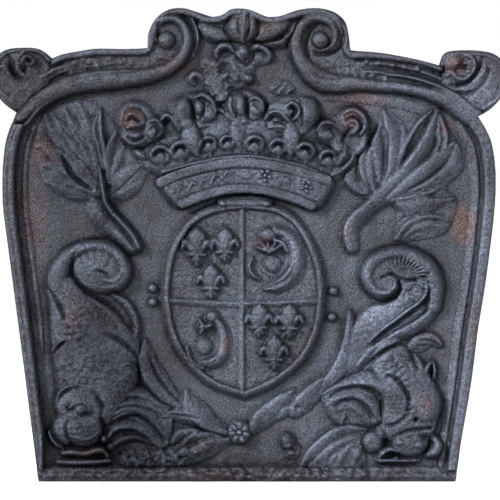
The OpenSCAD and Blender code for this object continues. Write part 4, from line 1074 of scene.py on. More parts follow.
set_down(charge, "charge_dolphin_upper", "cast_iron_relief", soft=0.6)
charge = Carving(-66, 100, -8, 176, SHIELD_FACE)
charge.stroke([[-34, 163], [-28, 156], [-24.5, 145], [-24.5, 134], [-28.5, 124], [-37, 118], [-46, 118]],
    (5, 7, 8, 8.5, 8, 6.5, 2.6), (7, 7.5, 7.5, 7.5, 7.5, 7, 5), soft_swell)
charge.stroke([[-29, 127], [-36, 121], [-44, 120]], (3, 5, 3), (8, 9.6, 7.6), soft_swell)
charge.swell([-35.5, 164.5], 6.6, 9.6)
for tip in ([-48, 161], [-49, 154], [-47, 148]):
    charge.stroke([[-37, 156], [-43, 154.5], tip], (2.4, 2.4, 1.6), (8.6, 8.2, 7))
charge.swell([-43, 135], 8.5, 4.6, 9, power=0.6)
charge.cut([[-52, 128], [-54, 136], [-50, 143], [-42, 146]], 1.2, 2)
charge.stroke([[-46, 113], [-54, 118], [-59, 126], [-60, 135]], (2.6, 3.4, 3, 1.6), (4, 6, 6, 4),
    soft_swell)
charge.grains([-43, 155], (5, 4), 18, 1.3, 1, 10)
set_down(charge, "charge_dolphin_lower", "cast_iron_relief", soft=0.6)

# A clasp holds the top of the rim, and two round knobs stand beside it on the field at each side.
clasp = Carving(-30, 268, 24, 286, SHIELD_FACE)
clasp.mass([[-24, 281], [-3, 282], [18, 281], [18, 274], [-3, 273], [-24, 274]], 5.6, 2.5)
for spot in ([-25, 277], [19, 276.5]):
    clasp.swell(spot, 4.6, 7.6, 4.2)
set_down(clasp, "shield_clasp", "cast_iron_relief")


def knob_row():
    """A tree of nodes that sets one dome on each place."""
    tree, given = start_tree("knob_row", [("Reach", "Float"), ("Rise", "Float")])
    ball = add(tree, "GeometryNodeMeshUVSphere", {"Segments": 28, "Rings": 16, "Radius": 1})
    dome = add(tree, "ShaderNodeCombineXYZ", {0: given["Reach"], 1: given["Rise"], 2: given["Reach"]})
    knobs = add(tree, "GeometryNodeInstanceOnPoints", {"Points": given["Places"],
                                                       "Instance": ball.outputs[0],
                                                       "Scale": dome.outputs[0]})
    finish_tree(tree, knobs, given["Iron"])
    return tree


grow(knob_row(), "shield_knobs_casting", "shield_knobs", "cast_iron_relief", ([85.5, 190], [84, 164],
    [-95, 193], [-95, 179]), 0, 5, {"Reach": 5, "Rise": 7})

# ---- Dolphins ----
# Two scaly dolphins hang head down beside the shield. Each is the deepest carving on the plate: a
# blunt head at the foot, a swelling back, and a tail that coils in over itself.
def scales(size, depth):
    """Rows of overlapping scales, each row shifted by half a scale, that face along the stroke."""
    def grain(side, run):
        row = np.floor(run / size)
        across = (side / size + 0.5 * (row % 2)) % 1 - 0.5
        lip = 0.75 - 1.9 * across**2 - (run / size - row)
        return 1 + depth * np.clip(lip * 3, -1, 1)
    return grain


dolphin = Carving(-208, 8, -98, 252)
dolphin.stroke([[-184, 193], [-174, 169], [-162, 145], [-151, 121], [-153, 95], [-158, 81]],
    (15, 24, 33, 43, 41, 32), (12, 13, 14, 14.5, 14, 13), fat_back, scales(7, 0.02))
dolphin.swell([-148, 214], 29, 12, 28, power=0.28)
dolphin.stroke([[-182, 178], [-190, 193], [-188, 211], [-179, 225], [-164, 233], [-148, 234.5],
    [-134, 229], [-125, 218], [-124, 205], [-132, 196], [-144, 193]],
    (14, 12, 11.5, 9, 7.5, 7, 7.5, 7.5, 8, 7, 4), (13, 13, 13.5, 14, 14, 14, 14, 14, 14, 13, 11))
for rib in (
    [[-158, 213], [-166, 223], [-169, 234]],
    [[-154, 214], [-159, 224], [-161, 236]],
    [[-150, 215], [-152, 225], [-153, 237]],
    [[-146, 215], [-144, 225], [-143, 236]],
    [[-142, 213], [-137, 221], [-133, 230]],
):
    dolphin.cut(rib, (1, 1.6, 1.4), (0.6, 1.2, 0.6))
dolphin.cut([[-168, 234], [-174, 224], [-175.5, 213], [-173, 204], [-166, 195], [-156, 188], [-146, 184]],
    (1.2, 1.6, 2, 2.4), (1.5, 3.5, 5, 6, 7))
dolphin.cut([[-154, 209], [-147, 210], [-141, 207], [-139, 202]], 1.5, (1, 3, 4, 2))
dolphin.stroke([[-142, 202], [-134, 200], [-127, 205], [-124, 213]], (4, 6, 6, 3), (12, 14, 15, 14))
dolphin.stroke([[-160, 190], [-148, 182], [-136, 172], [-126, 160], [-117, 144], [-110, 129]],
    (4, 8, 10, 10, 9, 5), (10, 13, 13.5, 13.5, 13, 10), right_high)
dolphin.cut([[-162, 190], [-150, 183], [-138, 177], [-127, 167], [-118, 154]], (2, 3, 3.4, 2),
    (5, 7, 5, 3))
dolphin.stroke([[-136, 185], [-124, 178], [-116, 167], [-112, 153], [-115, 141]], (3, 5.4, 5.4, 4.6, 3),
    (5, 8, 9, 8.4, 6), left_high)
for cut in (
    ([[-134, 181], [-125, 173], [-118, 162], [-115, 149]], 1.6, (2, 4, 4, 2)),
    ([[-143, 148], [-135, 145], [-126, 140], [-118, 134], [-111, 126]], (2, 3, 3, 2), (2, 4, 4.5, 2.5)),
    ([[-201, 195], [-194, 185], [-188, 176], [-184, 168], [-183, 163]], (1.4, 2.4, 3, 2), (2, 4, 5, 3)),
):
    dolphin.cut(*cut)
dolphin.stroke([[-195, 130], [-189, 138], [-181, 142], [-172, 142]], (2, 3, 3, 2), (12, 15, 15, 13.5),
    soft_swell)
dolphin.cut([[-191, 132], [-186, 137.5], [-181, 140]], 1.4, (2, 5, 2))
for arc in (
    [[-165, 135], [-156, 140], [-147, 140]],
    [[-162, 131.5], [-154, 136.5], [-144, 135]],
    [[-162, 127], [-152, 130.5], [-142, 128]],
    [[-148, 119], [-138, 123], [-127, 120]],
    [[-144, 110], [-134, 114], [-124, 110]],
    [[-152, 102], [-142, 106], [-132, 102]],
    [[-130, 100], [-122, 104], [-115, 99]],
    [[-126, 115], [-118, 118], [-110, 111]],
):
    dolphin.stroke(arc, (0.9, 1.5, 1), (15, 15.6, 14.6))
dolphin.grains([-168, 111], (12, 8), 60, 2, 1.1, 15)
dolphin.swell([-169, 77], 24, 16.6, 21, power=0.42)
dolphin.stroke([[-191, 79], [-188, 88], [-181, 94.5], [-172, 97], [-164, 96]], (1.6, 3, 3.6, 3.4, 1.6),
    (13, 16, 17, 17, 15), soft_swell)
dolphin.swell([-163, 55], 20, 16.4, 22, power=0.4)
dolphin.swell([-182, 53], 13, 15, 17, power=0.42)
dolphin.stroke([[-176, 62], [-168, 57], [-158, 57], [-149, 62]], (2, 5, 5, 2), (15, 17.6, 17.6, 15),
    soft_swell)
dolphin.stroke([[-175, 47], [-166, 43], [-156, 44], [-148, 50]], (2, 4.6, 4.6, 2), (14, 17.2, 17.2, 14),
    soft_swell)
dolphin.cut([[-179, 61], [-181, 53], [-179, 44], [-175, 37]], 2, (2, 4, 4, 2))
dolphin.dent([-177, 72.5], 5.5, 6.5, 6)
dolphin.dent([-158, 68], 6, 2.4, 3)
dolphin.swell([-166, 72], 5, 18.2, power=0.35)
dolphin.stroke([[-177, 74], [-172, 78.5], [-166, 80], [-160, 77.5], [-156, 73]], (1.4, 2, 2.2, 1.8, 1.2),
    (16, 18, 18.4, 17.6, 16))
dolphin.stroke([[-173, 70], [-169, 65], [-163, 63.5], [-158, 66]], (1.2, 1.6, 1.6, 1),
    (16, 17.8, 17.8, 16.4))
for cut in (
    ([[-170.5, 75.5], [-166, 77.4], [-161, 75], [-160.6, 70], [-165, 66.6], [-170, 68.6]], 0.9, 2.6),
    ([[-155, 90], [-149, 83], [-145, 74], [-147, 65]], (2, 3, 3, 2), (1.5, 4, 4.5, 2)),
    ([[-147, 41], [-143, 48], [-143, 56], [-146, 63]], 2, (3, 5, 5, 3)),
):
    dolphin.cut(*cut)
dolphin.stroke([[-198, 50], [-195, 43], [-190, 37.5], [-184, 34]], (1.8, 2.4, 2.4, 1.8),
    (9, 12, 12.6, 10))
dolphin.cut([[-192, 47], [-188, 40], [-182, 35]], 1.6, (3, 4, 3))
dolphin.stroke([[-184, 29], [-174, 30], [-162, 29], [-152, 31.5], [-145, 32], [-140, 26]],
    (3, 3.8, 3.6, 4, 3.6, 2.4), (11, 13.6, 14, 14.6, 14, 10))
dolphin.cut([[-184, 34.5], [-172, 34], [-160, 33.5], [-150, 38], [-143, 44]], 1.5, (4, 5, 5, 5, 3))
dolphin.stroke([[-188, 20], [-173, 19.5], [-156, 20], [-138, 21]], (4, 4.6, 4.6, 3), (7, 9.5, 9.5, 7),
    soft_swell)
dolphin.cut([[-180, 24.5], [-168, 24.5], [-156, 24], [-144, 25]], 1.3, (3, 4, 4, 3))
dolphin.grains([-170, 161], (8, 9), 60, 1.6, 1.3, 5)
dolphin.grains([-172, 49], (4, 5), 30, 1.3, 1.2, 6)
set_down(dolphin, "dolphin_left_body", "cast_iron_relief")

# A fan of long fins spreads from the head towards the middle.
fins = Carving(-150, 14, -76, 96)
fins.mass([[-147, 77], [-136, 87], [-115, 93], [-92, 85], [-77, 74], [-76, 53], [-80, 35], [-98, 28],
    [-123, 29], [-142, 31]], 3.5)
for stroke in (
    ([[-144, 69], [-140, 79], [-130, 87], [-116, 90], [-101, 87], [-88, 79], [-76, 75]],
     (2.6, 5, 6.4, 6.6, 6, 4.6, 2), (8, 12, 12, 11, 9, 7, 4), right_high),
    ([[-143, 65], [-136, 74], [-126, 79.5], [-112, 81], [-96, 77], [-82, 68]], (2.6, 4.8, 6, 6, 5.4, 2.6),
     (9, 13, 13, 12, 9, 5), right_high),
    ([[-141, 61], [-134, 69], [-124, 74], [-110, 74], [-96, 68], [-85, 58]], (2.6, 4.4, 5.6, 6, 5.6, 2.8),
     (9, 13, 13, 12, 10, 6), right_high),
    ([[-139, 54], [-132, 64], [-122, 69], [-108, 67], [-95, 59], [-85, 48], [-80, 39]],
     (2.6, 4.6, 5.6, 6, 6, 5, 2.6), (9, 13, 13, 12, 11, 9, 6), right_high),
):
    fins.stroke(*stroke)
fins.cut([[-139, 51], [-134, 59], [-124, 64.5], [-112, 65.5], [-102, 61], [-92, 52], [-83, 41]],
    (1.4, 2, 2.6, 2.6, 2), (4, 7, 8, 8, 5))
fins.stroke([[-140, 44], [-134, 53], [-122, 57.5], [-108, 56], [-96, 47], [-88, 35]],
    (3, 4.4, 6, 7, 6, 3), (9, 12.5, 12, 10, 8, 6), right_high)
fins.stroke([[-136, 35], [-126, 42], [-112, 44], [-98, 37]], (5, 7, 6, 2.5), (11, 9.5, 7, 5), soft_swell)
fins.swell([-143, 43], 4.6, 14)
fins.swell([-136, 36], 4.2, 14.5)
fins.cut([[-123, 38], [-113, 41], [-102, 38], [-90, 34]], 1.6, (2, 4, 2))
set_down(fins, "dolphin_left_fins", "cast_iron_relief")

dolphin = Carving(96, 14, 206, 246)
dolphin.stroke([[160, 61], [162, 81], [154, 103], [144, 119], [140, 131]], (28, 29, 27, 24, 16),
    (15, 16, 15, 13, 11), fat_back, scales(6, 0.03))
dolphin.stroke([[104, 115], [118, 136], [138, 156], [157, 168], [172, 181], [180, 197]],
    (8, 22, 27, 22, 16, 12), (9, 12, 14.5, 15, 14, 13), left_high)
dolphin.swell([142, 206], 30, 12, 27, power=0.25)
dolphin.stroke([[184, 175], [186, 195], [181, 211], [169, 222], [152, 227.5], [136, 225.5], [123, 217],
    [119, 204], [126, 191], [139, 189], [146, 197], [143, 203]],
    (9, 10, 10, 10, 9, 8, 8, 8.5, 8, 6, 4.5, 3),
    (12, 13.5, 14.5, 15, 15, 14.5, 14, 14, 14.5, 15, 14.5, 13))
# Folds of skin fan out round the inside of the tail's coil
FOLDS = 15
heart = [149, 202]
for k in range(FOLDS):
    turn = math.radians(-24 + 11.5 * k)
    inner, outer = 13 - 0.1 * k, 28 - 0.25 * k
    rib = [(heart[0] + 6 + r * math.cos(turn + b), heart[1] + r * 0.94 * math.sin(turn + b))
           for r, b in ((inner, 0.16), ((inner + outer) / 2, 0.04), (outer, -0.06))]
    dolphin.stroke(rib, (0.9, 1.6, 0.8), (13.6, 16, 14.6))
dolphin.cut([[180, 208], [172, 203], [162, 201], [152, 202], [142, 207], [132, 203]],
    (1.4, 1.7, 1.7, 1.2), (3, 4, 4, 5, 4))
dolphin.cut([[150, 200], [151, 192], [144, 184], [134, 179.5], [124, 180]], (2, 3, 3, 2), (6, 9, 9, 5))
dolphin.stroke([[177, 200], [177.5, 190], [171, 180], [160, 172], [147, 162], [132, 151], [120, 139]],
    (2, 2.6, 3, 3, 3, 2.6, 2), (14, 16.5, 17, 17, 16.5, 15.5, 13))
dolphin.cut([[180, 191], [176, 180], [164, 170], [152, 161], [138, 151], [124, 140]],
    (1.6, 1.8, 1.8, 1.5), (3, 5, 5, 5, 3))
dolphin.stroke([[190, 185], [184, 169], [170, 156], [152, 147], [136, 138], [122, 128], [110, 115]],
    (3.4, 6, 7.4, 6.6, 6, 5, 3), (11, 13, 13.5, 13.5, 13, 11.5, 8), right_high)
dolphin.cut([[188, 159], [176, 150], [162, 142], [148, 137], [134, 129.5], [122, 120], [112, 111]],
    (1.8, 2.2, 2.2, 1.6), (4, 6, 7, 7, 4))
dolphin.cut([[161, 136], [164, 125], [169, 114]], (3, 4, 3), (4, 7, 4))
dolphin.grains([142, 117], (11, 9), 110, 1.5, 1.6, 7)
dolphin.grains([160, 184], (7, 6), 40, 1.6, 1.4, 8)
dolphin.swell([171, 79], 22, 17.4, 27, turn=8, power=0.42)
dolphin.cut([[140, 107], [149, 101], [156, 92], [160, 82], [158, 71]], (1.8, 2.4, 2.4, 1.6), (3, 5, 5, 3))
dolphin.swell([147, 51], 20, 14, 11, power=0.35)
dolphin.cut([[136, 56], [146, 58], [155, 64], [161, 72]], (1.6, 2, 2), (2, 4, 4, 2))
dolphin.swell([175, 69], 13, 18.3, 12, turn=30, power=0.3)
dolphin.swell([162.5, 64], 3.4, 18.2, power=0.4)
dolphin.stroke([[156, 67], [160, 70.5], [166, 69.5]], 1.3, (15, 17.6, 17))
dolphin.dent([166.6, 62.4], 1.8, 5)
dolphin.swell([161, 40], 19, 13.4, 15, power=0.35)
dolphin.cut([[140, 43], [148, 47], [156, 50], [164, 52.4], [173, 53], [182, 54]], (1.6, 2.2, 2.4, 2),
    (1, 3, 4, 5, 5))
dolphin.dent([176, 45], 5, 5, 5)
dolphin.swell([152, 40], 9, 14.6, 7, power=0.6)
dolphin.swell([170, 37], 7, 14.4, 6, power=0.6)
dolphin.stroke([[131, 25], [135, 30.5], [142, 33], [149, 31]], (2.4, 3.4, 3.2, 1.8), (10, 14, 14.6, 13))
dolphin.stroke([[131, 21], [144, 22], [157, 22], [170, 22]], (3, 3.4, 3.4, 2.6), (9, 11, 11, 9),
    soft_swell)
dolphin.swell([147, 24], 2.2, 13, 1.6)
dolphin.cut([[138, 24.5], [148, 23.5], [162, 22.5], [180, 22]], (1.2, 1.8, 1.8), (4, 6, 6, 5))
dolphin.stroke([[186, 43], [189, 37], [186, 31], [179, 27]], (3.4, 6, 6, 3), (11, 15, 15, 11))
dolphin.swell([124, 40], 11, 10.5, 11, power=0.4)
dolphin.cut([[130, 53], [136, 47], [138, 39], [134, 31]], 1.8, (2, 4, 5, 4))
set_down(dolphin, "dolphin_right_body", "cast_iron_relief")

# The other fan lies flatter, and two short fins stand behind the head.
fins = Carving(64, 42, 204, 156)
fins.stroke([[162, 131], [172, 138], [183, 142], [192, 136]], (5, 9, 7, 3), (4, 7, 9, 7), left_high)
fins.cut([[170, 140.5], [180, 141], [189, 137]], 1, 2)
fins.cut([[170, 135], [180, 136], [189, 133]], 1, 2)
fins.stroke([[177, 102], [177, 111], [181, 118], [185, 119]], (3, 4, 3, 1.6), (9, 11, 11, 8))
fins.stroke([[185, 103], [186, 111], [185, 117]], (2, 2.2, 1.4), (9, 11, 9))
fins.mass([[73, 88], [88, 97], [104, 103], [124, 106], [140, 103], [151, 93], [156, 82], [152, 69],
    [136, 58], [98, 54], [86, 60], [78, 73]], 5, 3)
fins.stroke([[74, 88], [88, 96.5], [106, 101], [126, 102], [142, 94], [148, 81], [142, 68], [133, 61]],
    (2, 4.6, 6, 8, 11, 12, 9, 3), (8, 10, 11.5, 13, 13.6, 13.6, 12.6, 10), right_high)
fins.cut([[82, 85], [96, 92.5], [110, 95], [124, 90], [132, 79], [135, 63]], (1.4, 1.8, 2, 2),
    (3, 5, 6, 6, 5))
fins.stroke([[78, 77], [88, 84.5], [102, 89], [116, 86], [126, 77], [130, 63]],
    (2.4, 4.6, 6.4, 7.6, 7, 3), (8, 10, 11, 11.6, 12, 10), right_high)
fins.cut([[86, 75], [96, 81], [108, 81], [118, 73], [124, 63]], 1.6, (2, 4, 5, 5, 3))
fins.stroke([[82, 69], [92, 75], [104, 77], [114, 71], [119, 61]], (3, 5, 6, 7, 4), (6, 8.4, 9.6, 10, 8),
    right_high)
fins.stroke([[93, 56], [95, 64], [97, 70]], (3, 4, 2.4), (6, 9, 7), soft_swell)
set_down(fins, "dolphin_right_fins", "cast_iron_relief")

# ---- Tails ----
# Behind each coil the tail comes up as a stem and bursts into long acanthus blades. Each blade
# stands up along one edge and dips under its neighbour along the other.
def hollow(side):
    """A blade cupped along its middle, with both edges raised."""
    return round_back(side) ** 0.6 * (1 - 0.5 * np.exp(-(side / 0.55) ** 2))


def blades(carving, runs, form):
    """Several overlapping blades: points from root to tip, widths, heights."""
    for points, width, height in runs:
        carving.stroke(points, 1.5 * np.array(width), height, form)


stem = Carving(-178, 222, -100, 304)
stem.stroke([[-154, 289], [-152, 275], [-145, 261], [-132, 249], [-117, 234]], (7, 12, 13, 10, 8),
    (4, 4, 5, 8, 10), soft_swell)
stem.stroke([[-145, 291], [-142, 279], [-136, 269], [-127, 259.5], [-116, 247], [-109, 234]],
    (2.6, 3, 3.4, 3.6, 4, 4), (11, 11.5, 12, 12.5, 13, 12))
set_down(stem, "tail_stem_left", "cast_iron_relief")

spray = Carving(-226, 270, -96, 384)
spray.mass([[-214, 331], [-208, 353], [-201, 369], [-188, 375], [-168, 380], [-147, 373], [-129, 349],
    [-121, 334], [-101, 317], [-107, 294], [-124, 282], [-140, 274], [-150, 278], [-173, 281],
    [-200, 296], [-208, 314]], 1.5, 4)
blades(spray, (
    ([[-154, 294], [-170, 309], [-186, 325], [-200, 337], [-212, 334]], (3, 5, 8, 7, 1.4),
     (7, 7.8, 7.8, 6.2, 3.9)),
    ([[-151, 293], [-164, 311], [-179, 333], [-192, 351], [-202, 366]], (4, 7, 8, 7, 1.5),
     (8.6, 9.4, 8.6, 7.8, 4.7)),
    ([[-150, 297], [-160, 319], [-173, 341], [-186, 357], [-196, 369]], (3, 5, 6, 5, 1.2),
     (8.6, 9.8, 9.8, 9, 4.7)),
    ([[-149, 301], [-156, 323], [-165, 343], [-175, 359], [-182, 372]], (3, 4.5, 5, 4.5, 1),
     (8.6, 10.5, 10.1, 9.4, 5.5)),
    ([[-150, 323], [-154, 345], [-160, 362], [-168, 377]], (2, 4, 4, 1.2), (8.6, 9.8, 9.4, 5.5)),
    ([[-148, 305], [-151, 325], [-158, 347], [-169, 367]], (2.5, 4, 4.5, 1.2), (9.4, 10.9, 10.5, 6.2)),
), left_high)
blades(spray, (
    ([[-136, 287], [-126, 297], [-115, 307], [-103, 316]], (3, 8, 7, 1.5), (6.2, 7.4, 7, 4.7)),
    ([[-136, 283], [-124, 286.5], [-115, 291], [-107, 298]], (2, 4, 4, 1.5), (4.7, 6.2, 6.2, 3.9)),
    ([[-135, 299], [-130, 313], [-126, 326], [-123, 334]], (2, 4, 4, 1.4), (6.2, 7.4, 7, 4.7)),
    ([[-138, 299], [-138.5, 319], [-137, 333], [-131, 348]], (2.5, 3.2, 3.6, 1.2), (7.8, 9.8, 9.8, 6.2)),
), left_high)
spray.stroke([[-143, 313], [-146, 333], [-150, 351], [-147, 371]], (2.5, 4.6, 6, 1.4),
    (11, 12.5, 12.5, 8), hollow)
blades(spray, (
    ([[-151, 286], [-166, 293], [-181, 303], [-193, 312], [-202, 315]], (4, 7, 9, 8, 2),
     (9, 10.5, 10, 8, 5)),
    ([[-157, 282], [-172, 286], [-186, 291], [-199, 298]], (2, 3.6, 3.6, 1.5), (5, 7, 7, 5)),
), right_high)
spray.stroke([[-142, 278], [-144, 289], [-146, 301], [-148, 314]], (2.6, 3, 2.6, 1.4),
    (12, 14.5, 14.5, 11))
spray.cut([[-186, 325], [-180, 314], [-174, 304], [-165, 297], [-155, 291]], (1.4, 2.6, 3, 2.4, 1.4),
    (3, 8, 9, 8, 4))
for line in (
    [[-198, 341], [-192, 334], [-184, 329], [-172, 319]],
    [[-190, 359], [-180, 347], [-168, 335]],
    [[-187, 307], [-178, 300], [-168, 294]],
    [[-178, 359], [-170, 347], [-160, 331]],
    [[-170, 323], [-160, 314], [-151, 301]],
    [[-130, 290], [-122, 297], [-114, 305], [-106, 313]],
    [[-194, 365], [-186, 361], [-179, 354]],
):
    spray.cut(line, (0.8, 1.2, 1), (1.6, 3, 1.6))
set_down(spray, "tail_spray_left", "cast_iron_relief")

stem = Carving(90, 226, 146, 304)
stem.stroke([[104, 234], [102, 247], [107, 260], [121, 273], [138, 290]], (7, 9, 8.5, 7, 6),
    (11, 12.5, 13, 13, 13), left_high)
stem.dent([110, 249], 3, 2, 8, 20)
set_down(stem, "tail_stem_right", "cast_iron_relief")

spray = Carving(94, 236, 222, 378)
spray.mass([[95, 307], [107, 317], [119, 335], [132, 357], [136, 372], [156, 357], [173, 363], [190, 373],
    [197, 353], [208, 339], [212, 321], [205, 304], [193, 292], [207, 282], [201, 257], [193, 247],
    [160, 241], [147, 240], [150, 261], [146, 277], [130, 280], [110, 286]], 3, 4)
blades(spray, (
    ([[119, 288], [110, 294], [104, 303], [108, 315]], (2.5, 5, 5.5, 1.2), (6, 8.5, 8.5, 5)),
    ([[120, 289], [117, 306], [116, 321], [119, 334]], (3, 4.5, 4.5, 1.2), (8, 11, 11, 6)),
    ([[127, 291], [124, 309], [124, 326], [129, 341]], (3, 4.5, 4.5, 1.2), (9, 12, 12, 7)),
    ([[133, 299], [131, 321], [130, 338], [133, 356]], (3, 4, 5, 1.4), (9, 11, 11, 6)),
    ([[136, 291], [145, 309], [148, 329], [145, 347], [136, 370]], (3.5, 5.5, 7, 6.5, 1.4),
     (11, 13.5, 14, 13, 8)),
    ([[148, 307], [154, 323], [158, 339], [155, 355]], (2, 3.5, 4.5, 1.2), (9, 12, 12, 6)),
    ([[151, 307], [157, 329], [165, 346], [174, 359], [184, 370]], (2, 3, 3.4, 3.4, 1.2),
     (9, 12, 12.5, 12, 7)),
    ([[128, 279], [142, 292], [156, 306], [169, 322], [179, 338], [185, 354], [189, 370]],
     (6, 6, 6.4, 6.4, 6, 4.6, 1.2), (13, 13.5, 14.5, 15, 14.5, 13, 8)),
    ([[154, 285], [174, 293], [192, 303], [206, 315], [209, 336]], (2, 4, 5.6, 6, 1.6),
     (7, 9, 9.5, 9, 5)),
    ([[142, 281], [160, 294], [176, 307], [192, 320], [206, 338]], (4, 6, 7, 7, 1.4),
     (11, 13, 13.5, 13, 8)),
    ([[142, 279], [160, 281], [176, 285], [191, 292]], (2, 3.4, 3.8, 1.4), (9, 11, 10.5, 7)),
    ([[150, 275], [164, 271.5], [180, 274], [194, 278], [206, 282]], (3, 7.6, 7.6, 4, 1.2),
     (9, 11.5, 11, 9, 6)),
    ([[149, 242], [159, 254], [173, 261], [188, 262.5], [200, 259]], (2, 3.8, 3.6, 3, 1.4),
     (7, 9.5, 10, 9, 6)),
    ([[158, 244], [170, 252], [184, 254], [196, 251]], (2, 4, 4, 1.6), (6, 7.5, 7.5, 5)),
), left_high)
spray.stroke([[177, 313], [187, 325], [194, 339], [191, 365]], (2.5, 5, 6.4, 1.6), (9, 11, 11, 7), hollow)
for line in (
    [[133, 357], [138, 345], [139, 335], [137, 325]],
    [[108, 313], [111, 303], [117, 293]],
    [[172, 355], [164, 341], [157, 326], [151, 311]],
    [[199, 321], [190, 310], [176, 300], [160, 291]],
    [[156, 265], [150, 257], [146, 247]],
):
    spray.cut(line, (1, 1.6, 1.2), (2.4, 4.5, 2.4))
set_down(spray, "tail_spray_right", "cast_iron_relief")

# ---- Branches, rosette and foot leaves ----
# Two branches of long smooth blades lap up round the shield from a six petalled rosette, and more
# leaves lie along the foot. They were cut by the same hand as the tails.
palm = Carving(-112, 46, -16, 146)
blades(palm, (
    ([[-67, 76], [-79, 86], [-91, 101], [-100, 118], [-102, 141]], (3, 7, 8, 6.5, 1.4),
     (7, 10.5, 11.5, 10.5, 6)),
), left_high)
palm.cut([[-98, 129], [-94, 114], [-86, 100], [-77, 89], [-68, 81]], (1, 1.6, 1.8, 1.2), (2, 5, 5, 4, 2))
blades(palm, (
    ([[-21, 50], [-37, 58], [-50, 70], [-58, 79], [-61, 91]], (3, 5.5, 7.5, 6, 1.4),
     (8, 10.5, 11.5, 10.5, 6)),
), left_high)
palm.stroke([[-21, 49], [-42, 57], [-61, 65], [-77, 66], [-90, 61]], (2.6, 4.5, 7.5, 6.4, 1.2),
    (8, 10, 10.5, 9.5, 5), right_high)
palm.cut([[-82, 67], [-66, 66], [-48, 62]], 1.2, (1.5, 2.5, 1.5))
set_down(palm, "palm_left", "cast_iron_relief")

palm = Carving(0, 46, 112, 174)
blades(palm, (
    ([[4, 51], [14, 63], [26, 72], [36, 81], [46, 91]], (3.5, 7, 7.5, 6, 1.4), (8, 11.5, 12, 11, 6)),
    ([[31, 63], [38, 70], [45, 74]], (1.4, 3.4, 1.2), (5, 8.5, 5)),
    ([[47, 69], [55, 79], [64, 88], [72, 96], [81, 106]], (4, 7, 6.6, 5, 1.4), (8, 11, 11.5, 10.5, 6)),
    ([[73, 88], [85, 101], [95, 115], [101, 131], [104, 149], [102, 169]], (3, 6.5, 7.5, 7, 6, 1.8),
     (7, 11, 12.5, 12.5, 12, 7)),
), left_high)
palm.dent([49, 74], 3, 4)
palm.cut([[99, 109], [90, 97], [80, 88]], 1.4, (2, 4, 2))
set_down(palm, "palm_right", "cast_iron_relief")

flower = Carving(-26, 30, 10, 66)
flower.swell([-8.5, 49.5], 12, 8, power=0.35)
set_down(flower, "rosette", "cast_iron_relief", soft=0.4)
grow(flower_tree, "rosette_petals", "rosette", "cast_iron_relief", ([-8.5, 49.5],), 6.5, 11, {"Petals": 7,
    "Ring": 7.2, "Length": 4.6, "Width": 3.3, "Rise": 4.6, "Heart": 3.2})

leaves = Carving(-150, 14, -14, 56)
leaves.mass([[-126, 14], [-127, 31], [-114, 35], [-98, 35], [-78, 31], [-58, 41], [-18, 47], [-16, 41],
    [-36, 26], [-58, 17], [-68, 14]], 4, 4)
blades(leaves, (
    ([[-19, 41], [-34, 37], [-47, 31], [-58, 25], [-65, 18]], (2.6, 5, 6, 4.6, 2), (7, 10.5, 11, 10, 7)),
    ([[-26, 44], [-41, 45], [-54, 43], [-63, 38]], (2, 4, 4.6, 2), (6, 9, 9, 6)),
    ([[-43, 47], [-56, 49], [-68, 46], [-75, 39]], (1.6, 3.4, 4, 2), (5, 7.6, 8, 6)),
    ([[-70, 17], [-74, 23], [-78, 32]], (2.5, 3.6, 1.2), (7, 9, 6)),
    ([[-85, 16], [-85, 23], [-87, 32]], (2.5, 3.2, 1.2), (7, 9, 6)),
    ([[-99, 16], [-101, 25], [-102, 35]], (2.5, 3.2, 1.2), (7, 9, 6)),
    ([[-112, 15], [-115, 23], [-114, 32]], (2.5, 3.2, 1.2), (6, 8, 5)),
    ([[-121, 16], [-124, 24], [-126, 31]], (2.5, 3, 1.2), (6, 8, 5)),
), right_high)
leaves.swell([-63.5, 30.5], 6.4, 10.5, 5.6, 30, 0.35)
leaves.cut([[-58, 34], [-62, 32], [-62, 27], [-58, 24]], 0.9, 2.4)
leaves.cut([[-51, 38], [-61, 37], [-70, 32]], 1.4, (2, 4, 2))
leaves.grains([-103, 24], (16, 5), 70, 1.8, 2, 22)
leaves.grains([-58, 38], (12, 6), 40, 1.6, 1.6, 24)
set_down(leaves, "leaves_foot_left", "cast_iron_relief")

leaves = Carving(28, 14, 136, 58)
leaves.mass([[51, 14], [58, 26], [77, 43], [97, 54], [119, 53], [115, 35], [112, 14]], 4, 4)
blades(leaves, (
    ([[55, 16], [67, 30], [78, 40], [90, 48], [103, 51.5], [117, 51]], (3, 5.5, 5.5, 5.5, 4.6, 2),
     (8, 12, 12.5, 12, 11, 7)),
    ([[63, 15], [76, 24], [88, 34], [100, 40], [110, 42]], (2.5, 4.6, 4.6, 3.6, 1.5),
     (6, 9, 9.5, 8.5, 5)),
    ([[82, 15], [89, 24], [97, 32]], (2.2, 3.4, 1.4), (6, 8, 5)),
    ([[92, 15], [96, 25], [102, 34]], (2.6, 4, 1.6), (7, 10, 6)),
    ([[106, 15], [110, 25], [114, 35]], (2.6, 4, 1.6), (7, 10, 6)),
), left_high)
leaves.swell([40, 40], 7.5, 8.5, 9, turn=25, power=0.6)
leaves.swell([45, 30], 9, 3, 9)
leaves.cut([[43, 45], [46, 39], [43, 31]], 1.4, (2, 3, 2))
leaves.grains([42, 35], (7, 8), 60, 1.7, 1.7, 21)
set_down(leaves, "leaves_foot_right", "cast_iron_relief")

